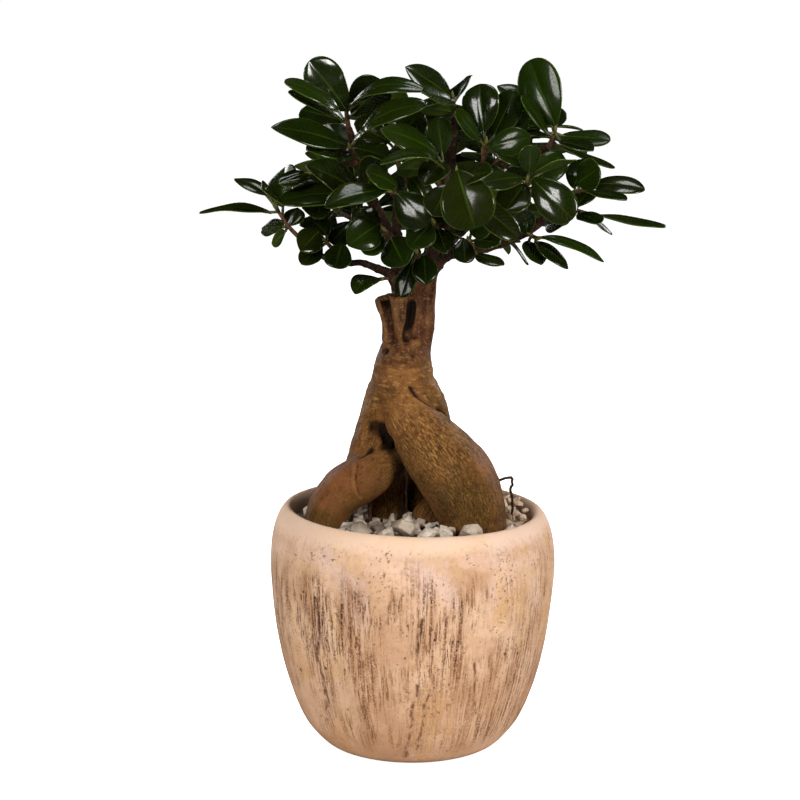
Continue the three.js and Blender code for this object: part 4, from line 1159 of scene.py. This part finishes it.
def near_spot(place, spot, inner, outer):
    """Mask that is 1 near a picture pixel's place on the plant and fades out; distances in mm."""
    gap = vector("DISTANCE", place, tuple(seen(*spot) * MM), output="Value")
    return ramp(gap, outer * MM, inner * MM, "SMOOTHSTEP")


def mask_group(name, inside, *numbers):
    """Node group that turns a place and some numbers into a mask."""
    group = bpy.data.node_groups.new(name, "ShaderNodeTree")
    group.interface.new_socket("Place", in_out="INPUT", socket_type="NodeSocketVector")
    for number in numbers:
        group.interface.new_socket(number, in_out="INPUT", socket_type="NodeSocketFloat")
    group.interface.new_socket("Mask", in_out="OUTPUT", socket_type="NodeSocketFloat")
    given = group.nodes.new("NodeGroupInput")
    mask = inside(*(Wire(given, label) for label in ("Place", *numbers)))
    result = group.nodes.new("NodeGroupOutput")
    group.links.new(mask.socket, result.inputs["Mask"])
    return group


def spots_inside(place, scale, detail, low, high):
    """Soft noise turned into a mask with its own edge, for patches, streaks, grain and specks."""
    inputs = {"Vector": place, "Scale": scale, "Detail": detail, "Roughness": 0.6}
    return ramp(add(place.tree, "ShaderNodeTexNoise", inputs), low, high, "SMOOTHSTEP")


def pits_inside(place, scale, share):
    """Small round pits, only in some of the cells of a loose pattern."""
    distance = add(place.tree, "ShaderNodeTexVoronoi", {"Vector": place, "Scale": scale}, "Distance")
    chance = add(place.tree, "ShaderNodeSeparateColor", {0: Wire(distance.node, "Color")})
    size = Wire(chance.node, 1) * 0.11 + 0.045
    return ramp(distance, size, size * 0.5, "SMOOTHSTEP") * maths("LESS_THAN", chance, share)


def cracks_inside(place, scale, width):
    """Fine net of cracks between long or round cells."""
    inputs = {"Vector": place, "Scale": scale}
    edge = add(place.tree, "ShaderNodeTexVoronoi", inputs, "Distance", feature="DISTANCE_TO_EDGE")
    return ramp(edge, width, 0.0, "SMOOTHSTEP")


SPOTS = mask_group("spots", spots_inside, "Scale", "Detail", "From", "To")
PITS = mask_group("pits", pits_inside, "Scale", "Share")
CRACKS = mask_group("cracks", cracks_inside, "Scale", "Width")


def spots(place, scale, low, high, detail):
    """Mask of noise between two levels; scale is in swells to a metre."""
    inputs = {"Place": place, "Scale": scale, "Detail": detail, "From": low, "To": high}
    return add(place.tree, "ShaderNodeGroup", inputs, node_tree=SPOTS)


def pits(place, scale, share):
    """Mask of pits; scale is in cells to a metre, share is how many of them have a pit."""
    inputs = {"Place": place, "Scale": scale, "Share": share}
    return add(place.tree, "ShaderNodeGroup", inputs, node_tree=PITS)


def cracks(place, scale, width):
    """Mask of fine cracks; scale is in cells to a metre, width is a share of a cell."""
    inputs = {"Place": place, "Scale": scale, "Width": width}
    return add(place.tree, "ShaderNodeGroup", inputs, node_tree=CRACKS)


class Finish:
    """Material under way: its surface, the place on the object and the colour painted so far."""

    def __init__(self, name, roughness, specular=0.5, coat=0.0, coat_roughness=0.1):
        self.material = bpy.data.materials.new(name)
        self.material.use_nodes = True
        self.tree = self.material.node_tree
        self.surface = self.tree.nodes["Principled BSDF"].inputs
        self.surface["Roughness"].default_value = roughness
        self.surface["Specular IOR Level"].default_value = specular
        self.surface["Coat Weight"].default_value = coat
        self.surface["Coat Roughness"].default_value = coat_roughness
        self.place = add(self.tree, "ShaderNodeTexCoord", output="Object")
        self.colour = None

    def attribute(self, name, output="Fac"):
        return add(self.tree, "ShaderNodeAttribute", output=output, attribute_name=name)

    def join(self, wire, label):
        self.tree.links.new(wire.socket, self.surface[label])

    def ground(self, mask, first, second):
        """The first colour: somewhere between two."""
        self.colour = blend(mask, rgb(*first), rgb(*second))

    def paint(self, mask, colour):
        """Lays one more colour over those so far, where its mask is."""
        self.colour = blend(mask, self.colour, rgb(*colour))

    def raised(self, height, distance):
        """The finished material, with its colour and with a relief of so many metres."""
        self.join(self.colour, "Base Color")
        inputs = {"Height": height, "Distance": distance, "Strength": 1.0}
        self.join(add(self.tree, "ShaderNodeBump", inputs), "Normal")
        return self.material


# Dark runs that stand out on the wall: picture pixels of the upper and the lower end, half width in mm.
WALL_RUNS = (
    (317, 600, 319, 664, 2.0), (320, 660, 327, 710, 1.2), (427, 584, 424, 616, 0.8),
    (421, 620, 419, 656, 1.7), (351, 628, 350, 652, 1.2), (417, 686, 405, 757, 1.8),
    (428, 690, 418, 750, 1.1), (472, 664, 476, 712, 1.3),
)
OUTER_WALL = POT_PROFILE[:18]
WALL_ROUNDS = 4
WALL_RADIUS = 0.075
RUN_CROOK = 0.007
INNER_WALL = (0.0686, 0.0664)


def wall_place(place):
    """Place on the pot's wall as if it were a straight cylinder, so that runs follow its curve down."""
    spoke = vector("NORMALIZE", vector("MULTIPLY", place, (1, 1, 0)))
    level = vector("MULTIPLY", place, (0, 0, 1))
    return vector("MULTIPLY_ADD", spoke, (WALL_RADIUS, WALL_RADIUS, 0), level)


def on_wall(px, py):
    """Point of the pot's outer wall at a picture pixel."""
    radii, heights = zip(*OUTER_WALL)
    depth = -radii[-1]
    for _ in range(WALL_ROUNDS):
        x, _, z = seen(px, py, depth)
        depth = -math.sqrt(max(np.interp(z, heights, radii) ** 2 - x * x, 0))
    return seen(px, py, depth)


def wall_run(face, run):
    """Mask along one dark run; face is the place on the pot as seen from the front."""
    top, bottom = [on_wall(*end) * (MM, 0, MM) for end in (run[:2], run[2:4])]
    line = bottom - top
    away = vector("SUBTRACT", face, tuple(top))
    share = vector("DOT_PRODUCT", away, tuple(line / np.dot(line, line)), output="Value")
    share = add(face.tree, "ShaderNodeClamp", {"Value": share})
    nearest = vector("MULTIPLY", share, tuple(line))
    return ramp(vector("DISTANCE", away, nearest, output="Value"), run[4] * MM, 0.0)


def wall_runs(place):
    """Mask of the dark runs on the front of the wall, crooked and broken up."""
    centred = vector("SUBTRACT", place, (RUN_CROOK / 2, 0, 0))
    face = vector("MULTIPLY", waved(centred, place, 80, 4, (RUN_CROOK, 0, 0)), (1, 0, 1))
    mask = wall_run(face, WALL_RUNS[0])
    for run in WALL_RUNS[1:]:
        mask = mask | wall_run(face, run)
    depth = add(place.tree, "ShaderNodeSeparateXYZ", {0: place}, 1)
    broken = spots(stretched(place, 1, 0.3), 520, 0.4, 0.6, 4) * 0.8 + 0.2
    return mask * maths("LESS_THAN", depth, 0) * broken


def clay_finish():
    """Weathered clay: peach ground, ochre patches, brown runs down the wall, pits, and a smoother lip
    lightened partly by a painted highlight.
    """
    clay = Finish("weathered_clay", 0.65, 0.12)
    place = clay.place
    wall = wall_place(place)
    bent = waved(wall, place, 22, 2, (0.003, 0.003, 0))
    ragged = waved(place, stretched(bent, 1, 0.25), 70, 4, (0, 0, 0.09))
    long_runs = stretched(bent, 1, 0.045)
    short_runs = stretched(bent, 1, 0.07, (0, 0, 0.7))
    body = band(place, 0.1315, 0.125)

    clay.ground(spots(place, 30, 0.36, 0.66, 4), (206, 164, 130), (232, 194, 163))
    lilac = spots(stretched(wall, 1, 0.6), 40, 0.46, 0.58, 5) * band(place, 0.075, 0.1)
    clay.paint(lilac * 0.6, (222, 192, 180))
    clay.paint(spots(stretched(wall, 1, 0.5), 50, 0.53, 0.62, 5) * body * 0.36, (216, 168, 104))
    # Lighter lip: partly cleaner clay, partly a painted highlight where light falls on the rim.
    clay.paint(band(place, 0.122, 0.1285) * 0.7, (246, 212, 184))
    upper = spots(stretched(wall, 1, 1.6), 60, 0.46, 0.6, 5) * 0.4
    clay.paint(upper * band(place, 0.108, 0.118), (240, 206, 190))

    worn = spots(stretched(wall, 1, 0.4), 40, 0.38, 0.54, 4)
    reach = worn * band(ragged, 0.162, 0.145) * band(place, 0.006, 0.02)
    clean = near_spot(place, (540, 590, -40), 16, 52) * 0.4
    clean = clean | near_spot(place, (428, 716, -66), 12, 34) * 0.6
    reach = reach * (1 - clean)
    dry = (spots(place, 900, 0.38, 0.56, 4) * 0.8 + 0.2) * reach
    haze = spots(stretched(bent, 1, 0.14), 110, 0.42, 0.66, 5) * reach
    clay.paint(haze * 0.6, (166, 116, 74))
    clay.paint(spots(long_runs, 420, 0.5, 0.6, 5) * dry * 0.9, (136, 90, 54))
    lines = spots(short_runs, 1000, 0.52, 0.6, 4) * dry
    clay.paint(lines * 0.9, (100, 58, 34))
    core = spots(short_runs, 520, 0.57, 0.64, 5) * dry
    clay.paint(core * 1.2, (70, 38, 27))
    marked = wall_runs(place)
    clay.paint(marked * 1.2, (84, 46, 32))

    scratched = spots(place, 46, 0.48, 0.58, 3) | near_spot(place, (500, 574, -60), 6, 18)
    clay.paint(spots(place, 520, 0.57, 0.65, 5) * body * scratched * 0.75, (112, 74, 52))
    middle = band(place, 0.122, 0.1) * band(place, 0.02, 0.05)
    pitted = spots(place, 32, 0.4, 0.52, 2) | near_spot(place, (410, 645, -74), 14, 44)
    holes = (pits(place, 125, 0.8) | pits(place, 300, 1.0)) * (pitted * middle)
    clay.paint(holes * 0.9, (50, 28, 22))

    # Darker at the foot.
    clay.paint(band(place, 0.007, 0.0) * 0.55, (110, 72, 50))
    radius = vector("LENGTH", vector("MULTIPLY", place, (1, 1, 0)), output="Value")
    inside = ramp(radius, *INNER_WALL) * band(place, 0.08, 0.09)
    clay.paint(inside * 0.75, (146, 114, 92))
    # Darker towards the bottom.
    clay.paint(band(place, 0.09, 0.03) * 0.3, (188, 138, 98))
    clay.paint(spots(place, 420, 0.45, 0.75, 6) * body * 0.4, (178, 132, 98))
    tooth = spots(place, 900, 0.3, 0.7, 5) * 0.3
    return clay.raised(tooth - ((lines | core | marked) * 0.5 + holes), 0.0006)


def branch_finish():
    """Thin reddish-brown bark of the branches and hanging roots."""
    bark = Finish("branch_bark", 0.6, 0.2)
    place = bark.place
    bark.ground(spots(place, 90, 0.36, 0.64, 4), (36, 21, 12), (68, 42, 25))
    bark.paint(spots(place, 620, 0.54, 0.68, 4) * 0.4, (130, 92, 56))
    bark.paint(spots(place, 420, 0.55, 0.7, 4) * 0.6, (28, 16, 10))
    return bark.raised(spots(place, 700, 0.3, 0.7, 4), 0.0006)


def bark_finish():
    """Satin brown bark: gold grain, a painted highlight on the main root, reddish stems, olive low roots,
    painted shade in hollows.
    """
    bark = Finish("root_bark", 0.5, 0.14)
    place = bark.place
    along = bark.attribute("bark_place", "Vector")
    wavy = waved(along, along, 160, 2, (0.0016, 0.0016, 0.004))
    stems = band(place, 0.21, 0.222)
    neck = band(place, 0.18, 0.196) * band(place, 0.226, 0.21)
    # Painted highlight: the lit middle of the main root, where the light grain streaks are strongest.
    lit_zone = near_spot(place, (432, 432, -30), 12, 42) | 0.3
    smooth = near_spot(place, (343, 490, -28), 14, 34)
    rough_share = 1 - smooth * 0.7
    roots = band(place, 0.205, 0.185) * bark.attribute("clear") * rough_share

    bark.ground(spots(place, 52, 0.36, 0.64, 4), (104, 68, 30), (146, 100, 50))
    red = spots(place, 26, 0.46, 0.6, 2) * 0.5 | smooth | near_spot(place, (490, 468, -24), 6, 26)
    bark.paint(red * 0.75, (130, 76, 42))
    bark.paint(stems * 0.9, (82, 46, 28))
    bark.paint(near_spot(place, (389, 302, -8), 9, 22) * 0.65, (62, 34, 22))
    green = spots(place, 30, 0.42, 0.58, 3) * band(place, 0.175, 0.14)
    bark.paint((green | near_spot(place, (464, 500, -38), 6, 26)) * 0.6, (76, 62, 14))
    bark.paint(spots(place, 150, 0.42, 0.66, 5) * 0.35, (64, 40, 18))

    # Light grain streaks: the grain's own colour, made stronger by a painted highlight on the lit middle of
    # the main root.
    light = spots(stretched(along, 1, 0.2), 1150, 0.46, 0.6, 4) * lit_zone * roots
    bark.paint(light * 0.7, (190, 138, 78))
    net = cracks(stretched(wavy, 1, 0.3), 760, 0.16) * spots(place, 44, 0.32, 0.52, 3) * roots
    bark.paint(net * 0.6, (58, 34, 14))
    bark.paint(spots(place, 900, 0.56, 0.66, 4) * rough_share * 0.45, (168, 124, 70))
    bark.paint(spots(place, 560, 0.57, 0.68, 4) * 0.6, (46, 28, 14))
    wrinkles = spots(stretched(place, 0.34, 1), 640, 0.52, 0.64, 5) * neck
    bark.paint(wrinkles * 0.65, (172, 130, 74))
    flakes = spots(stretched(place, 1, 0.3), 330, 0.5, 0.62, 5) * stems
    bark.paint(flakes * 0.6, (44, 24, 18))
    dashes = spots(stretched(place, 0.4, 1), 760, 0.58, 0.66, 3) * stems
    bark.paint(dashes * 0.55, (150, 104, 70))

    # Painted shade: the hollows and the places that other bark closes in are darkened, and the bulges are a
    # little lighter.
    hollow = bark.attribute("hollow")
    hollow_shade = ramp(hollow, 0.1, 0.7)
    bark.paint(ramp(hollow, -0.1, -0.5) * 0.25, (166, 120, 66))
    bark.paint(hollow_shade * 0.9, (22, 13, 8))
    bark.paint(ramp(bark.attribute("covered"), 0.3, 0.8) * 0.85, (24, 15, 9))
    bark.join(hollow_shade * 0.45 + 0.45, "Roughness")
    fine = spots(place, 1300, 0.3, 0.7, 4) * 0.5
    broad = spots(stretched(along, 1, 0.12), 560, 0.3, 0.7, 4) * roots
    return bark.raised((fine + broad) - (net + flakes), 0.0005)


UPPER_SIDE = {
    "dark": (9, 16, 1), "light": (27, 42, 4), "rib": (58, 78, 16), "rim": (84, 104, 34),
    "roughness": 0.4, "coat": 0.5, "smoothest": 0.24, "veins": 0.06, "vein_depth": 0.14,
}
# Under side: its own paler green, made lighter still by painted light shining through the leaf.
UNDER_SIDE = {
    "dark": (36, 50, 14), "light": (62, 78, 22), "rib": (110, 122, 56), "rim": (90, 108, 42),
    "roughness": 0.55, "coat": 0.0, "smoothest": 0.44, "veins": 0.18, "vein_depth": -0.4,
}
LEAF_ROUGHEST = 0.4


def leaf_finish(name, side):
    """Leathery fig leaf: pale midrib, faint side veins and pale rim, each leaf its own green."""
    leaf = Finish(name, side["roughness"], 0.04, side["coat"], 0.12)
    place = leaf.place
    blade = add(leaf.tree, "ShaderNodeUVMap", uv_map="blade")
    along = add(leaf.tree, "ShaderNodeSeparateXYZ", {0: blade})
    reach = maths("ABSOLUTE", Wire(along.node, 1) - 0.5) * 2
    tint = leaf.attribute("tint")
    leaf.ground(tint, side["dark"], side["light"])
    leaf.paint(spots(place, 90, 0.4, 0.7, 3) * 0.35, side["light"])
    if side["coat"]:
        leaf.paint(spots(place, 11, 0.48, 0.62, 2) * 0.35, (32, 34, 8))
        shine = maths("PINGPONG", tint * 7, 1) * 0.8 + 0.2
        leaf.join(shine * (spots(place, 1100, 0.36, 0.62, 3) * 0.5 + 0.6), "Coat Weight")
    veins = ramp(maths("SINE", (along - reach * 0.22) * 75), 0.82, 1)
    leaf.paint(veins * side["veins"], side["rib"])
    midrib = ramp(reach, 0.075, 0.02, "SMOOTHSTEP") * (1.15 - along)
    leaf.paint(midrib * 0.75, side["rib"])
    leaf.paint(ramp(reach, 0.955, 0.995) * 0.65, side["rim"])
    smoothest = side["smoothest"]
    gloss = spots(place, 220, 0.3, 0.7, 4) * (LEAF_ROUGHEST - smoothest) + smoothest
    leaf.join(gloss, "Roughness")
    skin = spots(place, 1000, 0.3, 0.7, 2) * 0.05 + spots(place, 110, 0.2, 0.8, 2) * 0.8
    return leaf.raised(skin - veins * side["vein_depth"], 0.0004)


def green_stem_finish(name, dark, light, roughness):
    """Young wood and green: twigs, leaf stalks and buds."""
    stem = Finish(name, roughness)
    stem.ground(spots(stretched(stem.place, 1, 0.4), 420, 0.35, 0.65, 3), dark, light)
    return stem.raised(spots(stem.place, 1200, 0.3, 0.7, 3), 0.0001)


def stone_finish(name, dark, light, tint_spots=None):
    """Broken pale stone: each its own grey or with tinted spots, painted light at the right, painted shade
    behind the front row, veins, specks, rough faces.
    """
    stone = Finish(name, 0.8, 0.3)
    place = stone.place
    tint = spots(place, *tint_spots) if tint_spots else stone.attribute("tint")
    stone.ground(tint, dark, light)
    # Painted light: the stones at the right are made lighter and warmer.
    stone.paint(near_spot(place, (522, 510, 8), 8, 50) * 0.6, (250, 214, 178))
    # Painted shade: the stones behind the front row, under the root's arch, are darkened.
    stone.paint(near_spot(place, (374, 508, -34), 12, 24) * 0.85, (84, 66, 50))
    veins = spots(stretched(place, 1, 0.4, (0.6, 0.3, 0)), 300, 0.52, 0.66, 4)
    stone.paint(veins * 0.4, (168, 152, 134))
    stone.paint(spots(place, 1300, 0.64, 0.74, 2) * 0.45, (112, 98, 84))
    return stone.raised(spots(place, 800, 0.3, 0.7, 5), 0.0005)


def soil_finish():
    """Dark crumbly soil."""
    soil = Finish("potting_soil", 0.95, 0.2)
    soil.ground(spots(soil.place, 260, 0.35, 0.65, 5), (34, 24, 18), (74, 54, 40))
    soil.paint(spots(soil.place, 700, 0.66, 0.72, 2), (136, 112, 84))
    return soil.raised(spots(soil.place, 420, 0.3, 0.7, 5), 0.0015)


# ---- studio ----
FLOOR_SIZE = 40
FLOOR_GLOW = 0.97
FLOOR_SEEN = (0.9, 0.9, 0.9, 1)
FLOOR_MIRRORED = (0.12, 0.12, 0.12, 1)
WHITE = (1, 1, 1, 1)
SURROUND_LIGHT = 0.05
SURROUND_SEEN = 0.9
FAR_CLIP = 100
WARM = (1, 0.98, 0.94)
PLAIN = (1, 1, 1)
LIT_PLACE = (0, 0, 0.2)
# Soft boxes: name, place and width and height in metres, power in watts, colour.
SOFT_BOXES = (
    ("box_left", (-0.85, -1.5, 1.0), (0.58, 0.7), 22, WARM),
    ("box_right", (1.25, -1.05, 0.85), (0.4, 0.52), 20, WARM),
    ("box_above", (0.1, 0.1, 1.6), (0.5, 0.5), 7, PLAIN),
    ("box_behind_left", (-0.9, 1.3, 0.6), (0.5, 0.5), 7, PLAIN),
    ("box_behind_right", (1.0, 1.2, 0.6), (0.5, 0.5), 7, PLAIN),
)


def floor():
    """Plain pale floor, wide enough to fill the view behind the plant."""
    bm = bmesh.new()
    bmesh.ops.create_grid(bm, x_segments=1, y_segments=1, size=FLOOR_SIZE)
    mesh = bpy.data.meshes.new("floor")
    bm.to_mesh(mesh)
    bm.free()
    sheet = Finish("pale_floor", 0.9, 0.1)
    sheet.surface["Emission Color"].default_value = WHITE
    mirrored = add(sheet.tree, "ShaderNodeLightPath", output="Is Glossy Ray")
    sheet.join(blend(mirrored, FLOOR_SEEN, FLOOR_MIRRORED), "Base Color")
    sheet.join(Wire(mirrored.node, "Is Camera Ray") * FLOOR_GLOW, "Emission Strength")
    mesh.materials.append(sheet.material)
    ground = link("floor", mesh)


def soft_box(name, place, size, power, colour):
    """Large soft light that faces the plant."""
    lamp = bpy.data.lights.new(name, "AREA")
    lamp.shape = "RECTANGLE"
    lamp.size, lamp.size_y = size
    lamp.energy = power
    lamp.color = colour
    holder = link(name, lamp)
    holder.location = place
    holder.rotation_euler = (Vector(LIT_PLACE) - Vector(place)).to_track_quat("-Z", "Y").to_euler()


def studio():
    """Camera at the picture's place, soft boxes left, right, above and behind, and a pale surround."""
    scene = bpy.context.scene
    lens = bpy.data.cameras.new("camera")
    lens.sensor_width = SENSOR_WIDTH
    lens.lens = FOCAL_PIXELS / PICTURE_SIZE * SENSOR_WIDTH
    lens.clip_end = FAR_CLIP
    camera = link("camera", lens)
    camera.location = Vector(EYE) * MM
    camera.rotation_euler = (math.pi / 2 - EYE_PITCH, 0, 0)
    scene.camera = camera
    scene.view_settings.view_transform = "Standard"
    world = bpy.data.worlds.new("surround")
    world.use_nodes = True
    surround = world.node_tree
    background = surround.nodes["Background"].inputs
    background["Color"].default_value = WHITE
    direct = add(surround, "ShaderNodeLightPath", output="Is Camera Ray")
    mirrored = Wire(direct.node, "Is Glossy Ray")
    glow = direct * SURROUND_SEEN + SURROUND_LIGHT - mirrored * SURROUND_LIGHT
    surround.links.new(glow.socket, background["Strength"])
    scene.world = world
    for box in SOFT_BOXES:
        soft_box(*box)
    floor()


# ---- assembly ----
def refinish(node, material):
    """A CAD object that stays in sight gets a finish."""
    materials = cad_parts[node].data.materials
    materials.clear()
    materials.append(material)


def build():
    rng = np.random.default_rng(5)
    studio()
    trunk_with_roots(bark_finish())
    branches_and_thin_roots(branch_finish())
    clay_pot(clay_finish())
    gravel(stone_finish("broken_stone", (202, 182, 162), (245, 231, 214)), bark_lines())
    bed_spots = (130, 0.4, 0.6, 2)
    refinish("gravel_bed", stone_finish("gravel_bed", (96, 84, 72), (150, 138, 124), bed_spots))
    refinish("soil", soil_finish())
    leaf_materials = (
        leaf_finish("leaf_upper_side", UPPER_SIDE),
        leaf_finish("leaf_under_side", UNDER_SIDE),
        green_stem_finish("young_stem", (46, 42, 18), (88, 92, 34), 0.5),
        green_stem_finish("bud", (84, 92, 34), (126, 110, 52), 0.4),
        green_stem_finish("twig_bark", (52, 32, 18), (104, 66, 38), 0.6),
    )
    blanks = [leaf_blank(f"leaf_blank_{i + 1}", *powers) for i, powers in enumerate(LEAF_OUTLINES)]
    for name, leaves in grow_leaves().items():
        leafy_shoot(name, SHOOTS[name], leaves, blanks, leaf_materials, rng)
    for blank in blanks:
        bpy.data.meshes.remove(blank)


build()
